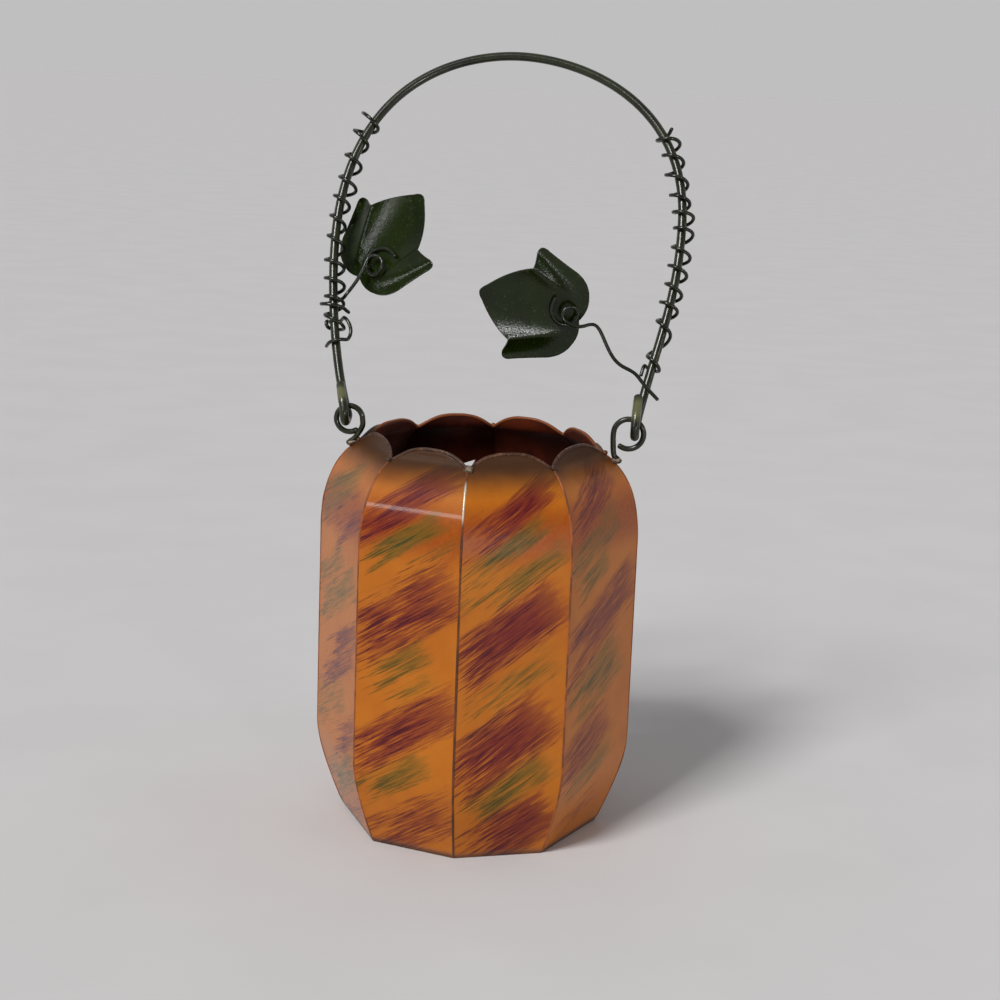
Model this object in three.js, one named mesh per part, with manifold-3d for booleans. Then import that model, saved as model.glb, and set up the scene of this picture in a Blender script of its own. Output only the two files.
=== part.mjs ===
// A jack-o-lantern tea light holder: eight painted sheet panels round a soldered base plate,
// a candle cup, two eye rings, and a wire handle that carries two wound vines with stamped leaves.
// Millimetres, +Z up. The origin is the centre of the base, on the table. The face looks along +Y.
import * as THREE from "three";
import { mergeVertices } from "three/addons/utils/BufferGeometryUtils.js";
import Module from "manifold-3d";

const wasm = await Module();
wasm.setup();

// Driving dimensions of the sheet body
const BODY_RADIUS = 42.5; // axis to a seam, at the straight wall
const SEAM_ANGLE = 39.5; // degrees from a front or back seam to the next seam
const BASE_RADIUS = 34.9; // axis to a seam, on the table
const WALL_BOTTOM = 24.5; // height where the wall starts to run straight
const WALL_TOP = 78.6; // height where the shoulder starts
const FOOT_FLARE = 17; // height of the foot curve's control point
const NOTCH_RADIUS = 32.6; // axis to a notch between two petals
const NOTCH_HEIGHT = 102;
const SHOULDER_DROP = 6.4; // the shoulder's control point, below the notch
const PETAL_RISE = 3.5; // a petal's top, above the notch
const PETAL_LEAN = 1.4; // a petal's top, inside the notch
const PETAL_FULLNESS = 2.6; // 2 is a parabola, more is squarer
const PETAL_BEND = [0.8, 0.25]; // the petal curve's control point, in shares of its lean and rise
const SHEET = 0.6; // thickness of the body's tinplate
const SEAM_GAP = 0.3; // between neighbouring panels, where the solder runs
const SOLDER_GAP = 0.3; // between a soldered piece and its seat

// Driving dimensions of the candle cup
const CANDLE_DIAMETER = 38; // a tea light
const CANDLE_CLEARANCE = 0.8; // round the tea light
const CUP_DEPTH = 11;
const CUP_LIP = 1.4; // width of the turned out lip

// Driving dimensions of the face
const EYE_TIP_OUT = 6.2; // from the front seam to an eye's inner tip
const EYE_TIP_RISE = 12.4; // an eye's inner tip, above the straight wall
const EYE_LENGTH = 15;
const EYE_WIDTH = 8.4;
const EYE_TILT = 42; // degrees below level, from the inner tip outwards
const NOSE_HEIGHT = 9;
const NOSE_WIDTH = 8;
const NOSE_TOP_DROP = 1.6; // the nose's top, below the straight wall's top
const MOUTH_CORNER_OUT = 19; // from the front seam to a corner of the mouth
const MOUTH_CORNER_RISE = 35; // a corner of the mouth, above the straight wall's foot
const MOUTH_DEPTH = 20; // the lowest point, below the corners
const MOUTH_OPEN = 9; // height of the opening at the front seam
const TOOTH_WIDTH = 4.2;
const TOOTH_LENGTH = 3.8;
const UPPER_TOOTH_AT = 0.17; // a tooth's place, in shares of the way to the mouth's corner
const LOWER_TOOTH_AT = 0.64;
const LIP_END_AT = 0.94; // where the lower lip's cut meets the corner
const UPPER_LIP_CURVE = 2; // powers of the lips' curves
const LOWER_LIP_CURVE = 2.2;
// An eye's outline from its tip round, in shares of its length and width; every second point ends a curve
const EYE_OUTLINE = [
  [0.5, 0.42], [0.75, 0.5], [1, 0.5], [1, 0], [1, -0.5], [0.75, -0.5], [0.5, -0.42], [0, 0],
];

// Driving dimensions of the wires
const HANDLE_WIRE = 2.4;
const RING_WIRE = 1.5;
const VINE_WIRE = 1;
const RUNNING_GAP = 0.5; // between a hook and the ring wire that it hangs on

// Driving dimensions of the eye rings
const LEFT_RING_RADIUS = 3.5; // to the middle of the wire
const RIGHT_RING_RADIUS = 3.95;
const HINGE_RISE = 9; // the hinge axis, above the notch
const LEFT_RING_OUT = 2.8; // a ring's middle, outside the notch
const RIGHT_RING_OUT = 6.1;
const LEFT_HOOK_OUT = 0.7; // a hook, outside its ring's middle
const RIGHT_HOOK_OUT = 1.6;
const RING_END_ANGLE = 303; // degrees round the loop, from the stem up and over
const RING_TAIL = 1.8; // soldered length along the shoulder
const RING_TAIL_START = 1; // the solder's start, outside the notch
const RING_STEM_SLOPE = 1.15; // length along the shoulder for each millimetre out to the loop

// Driving dimensions of the handle, in its own plane, from the hinge axis up
const HANDLE_LEAN = 25; // degrees behind upright, as it rests in the photograph
const HANDLE_HEIGHT = 103.2;
const HANDLE_TOP_OUT = 1.8; // the arch's top, to the right of the lantern's middle
// A half of the handle: its widest point outside its hook, how high that is, the leg's outward slope at
// the hook, the fullness of the curves along the leg, above the bow and beside the top, how far the hook's
// tail stands outside the hook at its start and end, and how high above the hinge axis it ends
const LEFT_HALF = {
  bow: 8, height: 48.5, splay: 0.36, leg: 0.29, rise: 0.815, crown: 0.374, tail: [0.3, 2.2], tailTop: 5.5,
};
const RIGHT_HALF = {
  bow: 9.3, height: 56.5, splay: 0.17, leg: 0.4, rise: 0.753, crown: 0.38, tail: [0.1, 0.4], tailTop: 6.1,
};
const HOOK_DROP = 4.2; // the middle of a hook's bend, below the hinge axis

// Driving dimensions of the vines
const WINDING_DEPTH = 2.4; // from the handle's middle to a strand in front of it or behind it
// Marks of a winding, from the top down: how high a strand passes beside the handle, and how far from its
// middle, left of it below zero. The vine goes in front after a mark on the left and behind after one on
// the right, unless a third value gives the share of the depth that it goes in front, behind below zero.
const LEFT_WINDING = [
  [82.4, -4.2], [81, 2.2], [77.9, -3.7], [75.7, 2.2], [71.3, -2.7], [69.3, 3], [65.2, -2.2], [62.5, 3.6],
  [59.8, -2.2], [57.2, 2.8], [54.2, -2.2], [51.2, 2.5], [48.5, -2.2], [45, 2.7], [41.5, -2.5], [39, 3],
  [36.4, -2.4], [33.8, 3.2], [31.3, -2.4], [28.9, 2.9], [26.2, -2.6], [21.8, 2.7], [22.9, -2.2, 0],
  [24.5, -2.2, -1.7], [25.4, 2.6, 0], [21.7, 4.8, 0], [18.3, 3.4, 1], [17.8, -2.3],
];
const RIGHT_WINDING = [
  [81.6, 2.4], [81.2, -2.2], [77.9, 3.3], [76.8, -2.6], [73.1, 2.4], [71.1, -3.5], [67.1, 2.2], [64.8, -3.2],
  [61.8, 2.2], [59.6, -2.7], [58, 3.2], [54.9, -2.2], [53.4, 3.3], [49.4, -2.3], [46.7, 3.2], [44.1, -2.6],
  [41.7, 3], [38.8, -2.5], [36.1, 2.7], [33.4, -2.8], [31.7, 2.6], [28.2, -2.4], [24.9, 2.5], [18.2, -2.2],
  [15.2, 2.2], [15.8, -2.2, 0], [13.8, -2.2],
];
const STEM_WINDING = [[26.8, 3.4, 1], [29.2, -3.6, -1], [31.2, 3.3]]; // the left stem's loop, from its end up
// A stem's bends by hand: out from its hook, to the right, and up from the hinge
const LEFT_STEM_BENDS = [[-2.8, 33], [-0.1, 37.7]];
const RIGHT_STEM_BENDS = [
  [4.7, 7], [2.9, 8.8], [1.2, 10.6], [-0.6, 13], [-2.6, 14], [-5.1, 15.1], [-7.3, 17.4], [-9.2, 21.1],
  [-10.8, 24.4], [-12.3, 26], [-14.3, 25.5], [-16.5, 24.6],
];
const RIGHT_STEM_ON_HANDLE = 3; // bends up to this one keep their height in front of the handle
const CURL_SWEEP = 470; // degrees
const CURL_OPENS_AT = 300; // degrees, where the curl starts to widen
const CURL_LANDS_AT = 340; // degrees, where the curl reaches the leaf
const CURL_SPREAD = 3.4; // how far the curl's end opens outwards
const CURL_LIFT = 1.8; // how far the curl's start stands off its end

// Driving dimensions of a leaf
const LEAF_SHEET = 0.5;
const LEAF_LENGTH = 28.4;
const LEAF_HALF_WIDTH = 15.8; // to the tip of a side lobe
const LEAF_NOTCH_AT = 17; // from the base to the notch behind the main lobe
const LEAF_NOTCH_OUT = 10.2; // from the middle line to the notch
const LOBE_REACH = 1.1; // from the crease to a lobe's edge, in shares of how far the lobe stands out
// Half outlines: the side lobe in shares of the notch's place and the half width, then the main lobe
// in shares of the length beyond the notch and the notch's distance out; every second point is a curve's end
const SIDE_LOBE = [
  [0.01, 0], [-0.106, 0.22], [-0.024, 0.44], [0.047, 0.68], [0.294, 0.78], [0.53, 0.86], [0.8, 0.97],
  [0.988, 1.07], [0.994, 0.88], [0.965, 0.75],
];
const MAIN_LOBE = [[0, 1], [0.45, 0.78], [0.886, 0.2], [1, 0.09], [1, 0]];
const CREASE_RISE = 1.5; // the crease's ridge, above the leaf, at the notch
const CREASE_LIMIT = 1.2; // the ridge's greatest height, in shares of its height at the notch
const CREASE_START_OUT = 3.2; // from the middle line to the crease, at the base
const DISH_POWER = 2.6; // how late the leaf's middle rises towards a crease
const LOBE_FALL = 1.6; // drop of a side lobe behind its crease, in shares of the ridge
const LOBE_TURN = 0.62; // of a half wave, from the crease to the edge
// A leaf's place: its base out from its hook to the right and up from the hinge, its direction, its tip's
// and side's turns in degrees, and how far it sits behind the hinge; then its curl's middle and radius
const LEFT_LEAF = {
  at: [-1.3, 38.8], direction: 51, pitch: -20.7, roll: -13.9, back: 8, curl: [5.8, -2.9], radius: 2.6,
};
const RIGHT_LEAF = {
  at: [-16.7, 27.6], direction: 172.4, pitch: -21.7, roll: -31.5, back: 2.6, curl: [3.5, -1.4], radius: 2.1,
};

// Finishes
const FINISH = {
  panel: { color: 0xb8691f, roughness: 0.28, metalness: 0.1 },
  tin: { color: 0x2a1512, roughness: 0.5, metalness: 0.4 },
  handle: { color: 0x2c331f, roughness: 0.3, metalness: 0.2 },
  vine: { color: 0x2a301d, roughness: 0.35, metalness: 0.2 },
  leaf: { color: 0x37401f, roughness: 0.28, metalness: 0.15 },
};

// Steps of the curved shapes
const COLUMNS = 4; // panel columns on each side of its middle
const FOOT_ROWS = 6;
const CROWN_ROWS = 10;
const HANDLE_STEPS = 56;
const HOOK_STEPS = 8;
const RING_STEPS = 16;
const CURL_STEPS = 20;
const STEPS_PER_TURN = 8;
const LEAF_ROWS = 9;
const LEAF_COLUMNS = [0, 0.35, 0.65, 0.85, 1]; // in shares of the way to the crease
const LOBE_COLUMNS = [0.25, 0.6, 1, 2]; // beyond the crease, in lobe widths
const OUTLINE_STEPS = 4;
const LIP_STEPS = 3;
const CUP_STEPS = 28;
const WIRE_SIDES = 8;
const VINE_SIDES = 5;
const v2 = (x, y) => new THREE.Vector2(x, y);
const v3 = (x, y, z) => new THREE.Vector3(x, y, z);
const radians = THREE.MathUtils.degToRad;

// Derived places
const LEFT_RING_X = -(NOTCH_RADIUS + LEFT_RING_OUT);
const RIGHT_RING_X = NOTCH_RADIUS + RIGHT_RING_OUT;
const LEFT_HOOK_X = LEFT_RING_X - LEFT_HOOK_OUT;
const RIGHT_HOOK_X = RIGHT_RING_X + RIGHT_HOOK_OUT;
const HINGE_HEIGHT = NOTCH_HEIGHT + HINGE_RISE;
const HOOK_HALF = (HANDLE_WIRE + RING_WIRE) / 2 + RUNNING_GAP;
const CUP_RADIUS = (CANDLE_DIAMETER + CANDLE_CLEARANCE) / 2;
const WIDE_HALF = radians(90 - SEAM_ANGLE) / 2; // half of the angle that a side panel spans
const LOBE_WIDTH = LOBE_REACH * (LEAF_HALF_WIDTH - LEAF_NOTCH_OUT);

// The seam line from the table to the tip of a petal, as radius and height
const foot = new THREE.QuadraticBezierCurve(
  v2(BASE_RADIUS, 0), v2(BODY_RADIUS, FOOT_FLARE), v2(BODY_RADIUS, WALL_BOTTOM));
const shoulder = new THREE.QuadraticBezierCurve(
  v2(BODY_RADIUS, WALL_TOP), v2(BODY_RADIUS, NOTCH_HEIGHT - SHOULDER_DROP), v2(NOTCH_RADIUS, NOTCH_HEIGHT));
const neck = new THREE.QuadraticBezierCurve(
  v2(NOTCH_RADIUS, NOTCH_HEIGHT),
  v2(NOTCH_RADIUS - PETAL_LEAN * PETAL_BEND[0], NOTCH_HEIGHT + PETAL_RISE * PETAL_BEND[1]),
  v2(NOTCH_RADIUS - PETAL_LEAN, NOTCH_HEIGHT + PETAL_RISE));

/** Moves a profile point inwards, square to the sheet. */
function inward(point, tangent, distance) {
  return v2(point.x - tangent.y * distance, point.y + tangent.x * distance);
}

/** The outer and inner profile points of a panel at one place across it, from -1 to 1. */
function panelSection(across) {
  const rows = [];
  const add = (curve, t) => rows.push([curve.getPoint(t), curve.getTangent(t)]);
  for (let i = 0; i <= FOOT_ROWS; i++) add(foot, i / FOOT_ROWS);
  const petal = 1 - Math.abs(across) ** PETAL_FULLNESS;
  const shoulderLength = shoulder.getLength();
  const reach = shoulderLength + neck.getLength() * petal;
  for (let i = 0; i <= CROWN_ROWS; i++) {
    const along = (reach * i) / CROWN_ROWS;
    if (along <= shoulderLength) {
      const t = shoulder.getUtoTmapping(along / shoulderLength);
      add(shoulder, t);
    } else {
      add(neck, neck.getUtoTmapping(Math.min(1, (along - shoulderLength) / neck.getLength())));
    }
  }
  return rows;
}

/** A closed sheet between two grids of points with the same rows and columns. */
function sheetBetween(outer, inner) {
  const rows = outer.length;
  const columns = outer[0].length;
  const points = [...outer.flat(), ...inner.flat()];
  const at = (side, row, column) => side * rows * columns + row * columns + column;
  const faces = [];
  const quad = (a, b, c, d) => faces.push(a, b, c, a, c, d);
  for (let i = 0; i + 1 < rows; i++) {
    for (let j = 0; j + 1 < columns; j++) {
      quad(at(0, i, j), at(0, i, j + 1), at(0, i + 1, j + 1), at(0, i + 1, j));
      quad(at(1, i, j), at(1, i + 1, j), at(1, i + 1, j + 1), at(1, i, j + 1));
    }
    const last = columns - 1;
    quad(at(0, i, 0), at(0, i + 1, 0), at(1, i + 1, 0), at(1, i, 0));
    quad(at(0, i, last), at(1, i, last), at(1, i + 1, last), at(0, i + 1, last));
  }
  for (let j = 0; j + 1 < columns; j++) {
    const top = rows - 1;
    quad(at(0, 0, j), at(1, 0, j), at(1, 0, j + 1), at(0, 0, j + 1));
    quad(at(0, top, j), at(0, top, j + 1), at(1, top, j + 1), at(1, top, j));
  }
  const geometry = new THREE.BufferGeometry().setFromPoints(points);
  geometry.setIndex(faces);
  geometry.computeVertexNormals();
  return geometry;
}

/** One panel between two seams, given as angles from the -Y direction. */
function panelGeometry(from, to) {
  const half = radians(to - from) / 2;
  const middle = radians((from + to) / 2);
  const out = v3(Math.sin(middle), -Math.cos(middle), 0);
  const side = v3(Math.cos(middle), Math.sin(middle), 0);
  const place = (point, across) => {
    const reach = point.x * Math.sin(half) - SEAM_GAP / 2 / Math.cos(half);
    const middleOut = point.x * Math.cos(half);
    return v3(0, 0, point.y).addScaledVector(out, middleOut).addScaledVector(side, reach * across);
  };
  const outer = [];
  const inner = [];
  for (let k = -COLUMNS; k <= COLUMNS; k++) {
    const across = Math.sin((Math.PI / 2) * (k / COLUMNS));
    panelSection(across).forEach(([point, tangent], i) => {
      outer[i] = [...(outer[i] ?? []), place(point, across)];
      const thickness = SHEET / Math.cos(half);
      inner[i] = [...(inner[i] ?? []), place(inward(point, tangent, thickness), across)];
    });
  }
  return sheetBetween(outer, inner);
}

/** A geometry as a solid that can be joined and cut. */
function solid(geometry) {
  const bare = geometry.clone();
  bare.deleteAttribute("normal");
  bare.deleteAttribute("uv");
  const merged = mergeVertices(bare, 1e-4);
  return new wasm.Manifold(new wasm.Mesh({
    numProp: 3,
    vertProperties: new Float32Array(merged.getAttribute("position").array),
    triVerts: new Uint32Array(merged.index.array),
  }));
}

/** A solid as a geometry. */
function geometryOf(body) {
  const mesh = body.getMesh();
  const geometry = new THREE.BufferGeometry();
  geometry.setAttribute("position", new THREE.BufferAttribute(new Float32Array(mesh.vertProperties), 3));
  geometry.setIndex(new THREE.BufferAttribute(new Uint32Array(mesh.triVerts), 1));
  geometry.computeVertexNormals();
  return geometry;
}

/** Adds curves to a shape; each takes a control point and an end from the list. */
function addCurves(shape, points) {
  for (let i = 0; i + 1 < points.length; i += 2) {
    shape.quadraticCurveTo(points[i].x, points[i].y, points[i + 1].x, points[i + 1].y);
  }
  return shape;
}

/** An eye: a pointed inner tip that opens to a round outer end. Distances run out from the front seam. */
function eyeShape() {
  const tip = v2(EYE_TIP_OUT, WALL_TOP + EYE_TIP_RISE);
  const turn = -radians(EYE_TILT);
  const placed = (a, c) => v2(a * EYE_LENGTH, c * EYE_WIDTH).rotateAround(v2(0, 0), turn).add(tip);
  const round = EYE_OUTLINE.map(([a, c]) => placed(a, c));
  const shape = new THREE.Shape();
  shape.moveTo(tip.x, tip.y);
  return addCurves(shape, round);
}

/** Half of a three-cornered nose, open at the front seam. */
function noseShape() {
  const top = WALL_TOP - NOSE_TOP_DROP;
  const shape = new THREE.Shape();
  shape.moveTo(-SHEET, top);
  shape.lineTo(0, top);
  shape.lineTo(NOSE_WIDTH / 2, top - NOSE_HEIGHT);
  shape.lineTo(-SHEET, top - NOSE_HEIGHT);
  return shape;
}

/** Half of a grin with a tooth from each lip, open at the front seam. */
function mouthShape() {
  const end = MOUTH_CORNER_OUT;
  const bottom = WALL_BOTTOM + MOUTH_CORNER_RISE - MOUTH_DEPTH;
  const lower = (x) => v2(x, bottom + MOUTH_DEPTH * (x / end) ** LOWER_LIP_CURVE);
  const upper = (x) => v2(x, bottom + MOUTH_OPEN + (MOUTH_DEPTH - MOUTH_OPEN) * (x / end) ** UPPER_LIP_CURVE);
  const lip = (curve, from, to) => {
    const at = (i) => curve(THREE.MathUtils.lerp(from, to, i / LIP_STEPS));
    return Array.from({ length: LIP_STEPS + 1 }, (_, i) => at(i));
  };
  const upperTooth = end * UPPER_TOOTH_AT;
  const lowerTooth = end * LOWER_TOOTH_AT;
  const drop = v2(0, -TOOTH_LENGTH);
  return new THREE.Shape([
    v2(-SHEET, bottom), v2(-SHEET, bottom + MOUTH_OPEN),
    ...[0, upperTooth].map(upper),
    upper(upperTooth).add(drop), upper(upperTooth + TOOTH_WIDTH).add(drop),
    ...lip(upper, upperTooth + TOOTH_WIDTH, end),
    ...lip(lower, end * LIP_END_AT, lowerTooth),
    lower(lowerTooth).sub(drop), lower(lowerTooth - TOOTH_WIDTH).sub(drop),
    ...[lowerTooth - TOOTH_WIDTH, 0].map(lower),
  ]);
}

/** A panel with half of the face cut through it; mirror is 1 where the front seam is on its low side. */
function facePanelGeometry(from, to, mirror) {
  const half = radians(to - from) / 2;
  const middle = radians((from + to) / 2);
  const seamOut = BODY_RADIUS * Math.sin(half);
  let body = solid(panelGeometry(from, to));
  for (const shape of [eyeShape(), noseShape(), mouthShape()]) {
    const options = { depth: BODY_RADIUS / 2, bevelEnabled: false, curveSegments: OUTLINE_STEPS };
    const cutter = new THREE.ExtrudeGeometry(shape, options);
    // Shape x runs away from the front seam, shape y up and the depth out of the panel.
    cutter.translate(-seamOut, 0, 0);
    if (mirror < 0) {
      cutter.rotateY(Math.PI);
      cutter.translate(0, 0, BODY_RADIUS / 2);
    }
    cutter.rotateX(Math.PI / 2);
    cutter.translate(0, -BODY_RADIUS / 2, 0);
    cutter.rotateZ(middle);
    body = body.subtract(solid(cutter));
  }
  return geometryOf(body);
}

/** The eight-sided plate that closes the base, inside the panels' lower edge. */
function basePlateGeometry() {
  const inner = inward(v2(BASE_RADIUS, 0), foot.getTangent(0), SHEET / Math.cos(WIDE_HALF));
  const radius = inner.x - SOLDER_GAP / Math.cos(WIDE_HALF);
  const corners = seamAngles().map((a) => v2(radius * Math.sin(radians(a)), -radius * Math.cos(radians(a))));
  return new THREE.ExtrudeGeometry(new THREE.Shape(corners), { depth: SHEET, bevelEnabled: false });
}

/** A drawn cup for one tea light, with a turned out lip. */
function candleCupGeometry() {
  const outer = CUP_RADIUS + SHEET;
  const profile = [
    v2(0, 0), v2(outer, 0), v2(outer, CUP_DEPTH - SHEET), v2(outer + CUP_LIP, CUP_DEPTH - SHEET),
    v2(outer + CUP_LIP, CUP_DEPTH), v2(CUP_RADIUS, CUP_DEPTH), v2(CUP_RADIUS, SHEET), v2(0, SHEET),
  ];
  return new THREE.LatheGeometry(profile, CUP_STEPS);
}

/** The angles of the eight seams from the -Y direction, counter-clockwise from above. */
function seamAngles() {
  const quarter = [0, SEAM_ANGLE, 90, 180 - SEAM_ANGLE];
  return [...quarter, ...quarter.map((a) => a + 180)];
}

/** A path through listed points, one step for each stretch between two of them. */
class WirePath extends THREE.CatmullRomCurve3 {
  getPointAt(u, target) {
    return this.getPoint(u, target);
  }
  getTangentAt(u, target) {
    return this.getTangent(u, target);
  }
}

/** A round wire through the given points. */
function wireGeometry(points, diameter, sides) {
  const section = [];
  for (let i = 0; i < sides; i++) {
    const angle = (2 * Math.PI * i) / sides;
    section.push(v2(Math.cos(angle), Math.sin(angle)).multiplyScalar(diameter / 2));
  }
  return new THREE.ExtrudeGeometry(new THREE.Shape(section), {
    steps: points.length - 1, extrudePath: new WirePath(points), bevelEnabled: false,
  });
}

/** Adds a straight stretch of one wire diameter to both ends of a list of points. */
function withStraightEnds(points, diameter) {
  const stretch = (end, next) => end.clone().add(end.clone().sub(next).setLength(diameter));
  return [stretch(points[0], points[1]), ...points, stretch(points.at(-1), points.at(-2))];
}

/** The least clear distance of a wire to itself, measured between its points. */
function leastSelfGap(points, diameter) {
  let least = Infinity;
  for (let i = 0; i < points.length; i++) {
    let run = 0;
    for (let j = i + 1; j < points.length; j++) {
      run += points[j].distanceTo(points[j - 1]);
      if (run > 4 * diameter) least = Math.min(least, points[i].distanceTo(points[j]) - diameter);
    }
  }
  return least;
}

/** An eye ring of one wire: the loop stands in the XZ plane and its tail lies along the shoulder. */
function ringGeometry(side, radius, ringX, hookX) {
  const points = [];
  const innerX = Math.abs(ringX) - radius;
  const tailStart = Math.max(RING_TAIL_START, (innerX - NOTCH_RADIUS) * RING_STEM_SLOPE);
  for (const along of [RING_TAIL, RING_TAIL / 2, 0]) {
    const t = shoulder.getUtoTmapping(1 - (tailStart + along) / shoulder.getLength());
    const p = inward(shoulder.getPoint(t), shoulder.getTangent(t), -RING_WIRE / 2 - SOLDER_GAP);
    points.push(v3(side * p.x, 0, p.y));
  }
  // The hook hangs beside the loop's top, on the hinge axis.
  const middle = HINGE_HEIGHT - Math.sqrt(radius ** 2 - (hookX - ringX) ** 2);
  points.push(v3(side * innerX, 0, middle - radius / 2));
  for (let i = 0; i <= RING_STEPS; i++) {
    const angle = radians((RING_END_ANGLE * i) / RING_STEPS);
    points.push(v3(ringX - side * radius * Math.cos(angle), 0, middle + radius * Math.sin(angle)));
  }
  return wireGeometry(points, RING_WIRE, WIRE_SIDES);
}

/** Half of the handle's arch in its own plane: the leg from its hook to the bow, and the bow to the top. */
function halfArch(hookX, side, half) {
  const low = HOOK_HALF - HOOK_DROP;
  const bow = v2(hookX + side * half.bow, half.height);
  const top = v2(HANDLE_TOP_OUT, HANDLE_HEIGHT);
  const leg = (bow.y - low) * half.leg;
  const above = v2(bow.x, THREE.MathUtils.lerp(bow.y, top.y, half.rise));
  const beside = v2(THREE.MathUtils.lerp(top.x, bow.x, half.crown), top.y);
  return [
    [v2(hookX, low), v2(hookX + side * half.splay * leg, low + leg), v2(bow.x, bow.y - leg), bow],
    [bow, above, beside, top],
  ];
}

/** The handle's arch, from the left hook over the top to the right hook. */
function archPath() {
  const right = halfArch(RIGHT_HOOK_X, 1, RIGHT_HALF).map((curve) => curve.reverse()).reverse();
  const path = new THREE.CurvePath();
  for (const curve of [...halfArch(LEFT_HOOK_X, -1, LEFT_HALF), ...right]) {
    path.add(new THREE.CubicBezierCurve(...curve));
  }
  return path;
}

const arch = archPath();

/** A hook's bend and tail, from where the leg ends to the wire's end. */
function hookPoints(side, hookX, half) {
  const low = HOOK_HALF - HOOK_DROP;
  const [start, end] = half.tail;
  const points = [];
  for (let i = 1; i <= HOOK_STEPS; i++) {
    const angle = (Math.PI * i) / HOOK_STEPS;
    const x = hookX + (side * start * i) / HOOK_STEPS;
    points.push(v3(x, low - HOOK_HALF * Math.sin(angle), -HOOK_HALF * Math.cos(angle)));
  }
  const clear = RING_WIRE / 2 + RUNNING_GAP;
  const risen = (clear - low) / (half.tailTop - low);
  points.push(v3(hookX + side * THREE.MathUtils.lerp(start, end, risen), clear, HOOK_HALF));
  points.push(v3(hookX + side * end, half.tailTop, HANDLE_WIRE + RUNNING_GAP - HOOK_HALF));
  return points;
}

/** The handle: one wire from hook to hook. */
function handleGeometry() {
  const legs = [];
  for (let i = 0; i <= HANDLE_STEPS; i++) {
    const p = arch.getPoint(i / HANDLE_STEPS);
    legs.push(v3(p.x, p.y, -HOOK_HALF));
  }
  const left = hookPoints(-1, LEFT_HOOK_X, LEFT_HALF).reverse();
  const right = hookPoints(1, RIGHT_HOOK_X, RIGHT_HALF);
  return wireGeometry([...left, ...legs, ...right], HANDLE_WIRE, WIRE_SIDES);
}

/** A point beside the handle at a height on its left or right half, to the right of it and in front of it. */
function besideHandle(side, height, aside, front) {
  let below = side < 0 ? 0 : 1;
  let above = 0.5;
  while (Math.abs(above - below) > 1e-6) {
    const middle = (below + above) / 2;
    if (arch.getPoint(middle).y < height) below = middle;
    else above = middle;
  }
  const p = arch.getPoint(below);
  const up = arch.getTangent(below).multiplyScalar(-side);
  return v3(p.x + up.y * aside, p.y - up.x * aside, front - HOOK_HALF);
}

/** Points of a wire wound round the handle's left or right half through a list of marks. */
function woundPoints(side, marks) {
  const points = [];
  const steps = STEPS_PER_TURN / 2;
  for (let i = 0; i + 1 < marks.length; i++) {
    const [height, aside, pass = -Math.sign(aside)] = marks[i];
    const [nextHeight, nextAside] = marks[i + 1];
    for (let k = i === 0 ? 0 : 1; k <= steps; k++) {
      const turn = (Math.PI * k) / steps;
      const across = THREE.MathUtils.lerp(aside, nextAside, (1 - Math.cos(turn)) / 2);
      const depth = pass * WINDING_DEPTH * Math.sin(turn);
      points.push(besideHandle(side, THREE.MathUtils.lerp(height, nextHeight, k / steps), across, depth));
    }
  }
  return points;
}

/** A leaf's frame in the handle's plane. */
function leafFrame(hookX, { at, direction, pitch, roll, back }) {
  return new THREE.Matrix4().makeRotationZ(radians(direction))
    .multiply(new THREE.Matrix4().makeRotationY(radians(pitch)))
    .multiply(new THREE.Matrix4().makeRotationX(radians(roll)))
    .setPosition(hookX + at[0], at[1], -back);
}

/** The curl at the end of a stem, on the front of its leaf. */
function curlPoints(hookX, leaf) {
  const seat = (LEAF_SHEET + VINE_WIRE) / 2 + SOLDER_GAP;
  const points = [];
  for (let i = 0; i <= CURL_STEPS; i++) {
    const turned = (CURL_SWEEP * i) / CURL_STEPS;
    const angle = radians(90 - turned);
    const opened = Math.max(0, (turned - CURL_OPENS_AT) / (CURL_SWEEP - CURL_OPENS_AT));
    const reach = leaf.radius + CURL_SPREAD * opened;
    const lift = CURL_LIFT * Math.max(0, 1 - turned / CURL_LANDS_AT);
    const p = v3(leaf.curl[0] + reach * Math.cos(angle), leaf.curl[1] + reach * Math.sin(angle), seat + lift);
    p.z += leafHeight(p.x, p.y);
    points.push(p.applyMatrix4(leafFrame(hookX, leaf)));
  }
  return points;
}

/** A stem's bent stretch from the handle to its curl, and the curl; it sinks after the given bend. */
function stemPoints(hookX, bends, from, front, leaf) {
  const curl = curlPoints(hookX, leaf);
  const points = bends.map(([out, height], i) => {
    const sink = Math.max(0, (i + 1 - from) / (bends.length + 1 - from));
    return v3(hookX + out, height, THREE.MathUtils.lerp(front, curl[0].z, sink));
  });
  return [...points, ...curl];
}

/** A leaf's outline, from its base along one half to its tip and back along the other. */
function leafShape() {
  const beyond = LEAF_LENGTH - LEAF_NOTCH_AT;
  const half = addCurves(new THREE.Path([v2(0, 0)]), [
    ...SIDE_LOBE.map(([a, c]) => v2(a * LEAF_NOTCH_AT, c * LEAF_HALF_WIDTH)),
    ...MAIN_LOBE.map(([a, c]) => v2(LEAF_NOTCH_AT + a * beyond, c * LEAF_NOTCH_OUT)),
  ].slice(1)).getPoints(OUTLINE_STEPS);
  const mirrored = half.slice(1, -1).map((p) => v2(p.x, -p.y)).reverse();
  return new THREE.Shape([...half, ...mirrored]);
}

/** Distance from a leaf's middle line to its crease. */
function creaseOut(along) {
  return CREASE_START_OUT + (along * (LEAF_NOTCH_OUT - CREASE_START_OUT)) / LEAF_NOTCH_AT;
}

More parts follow.
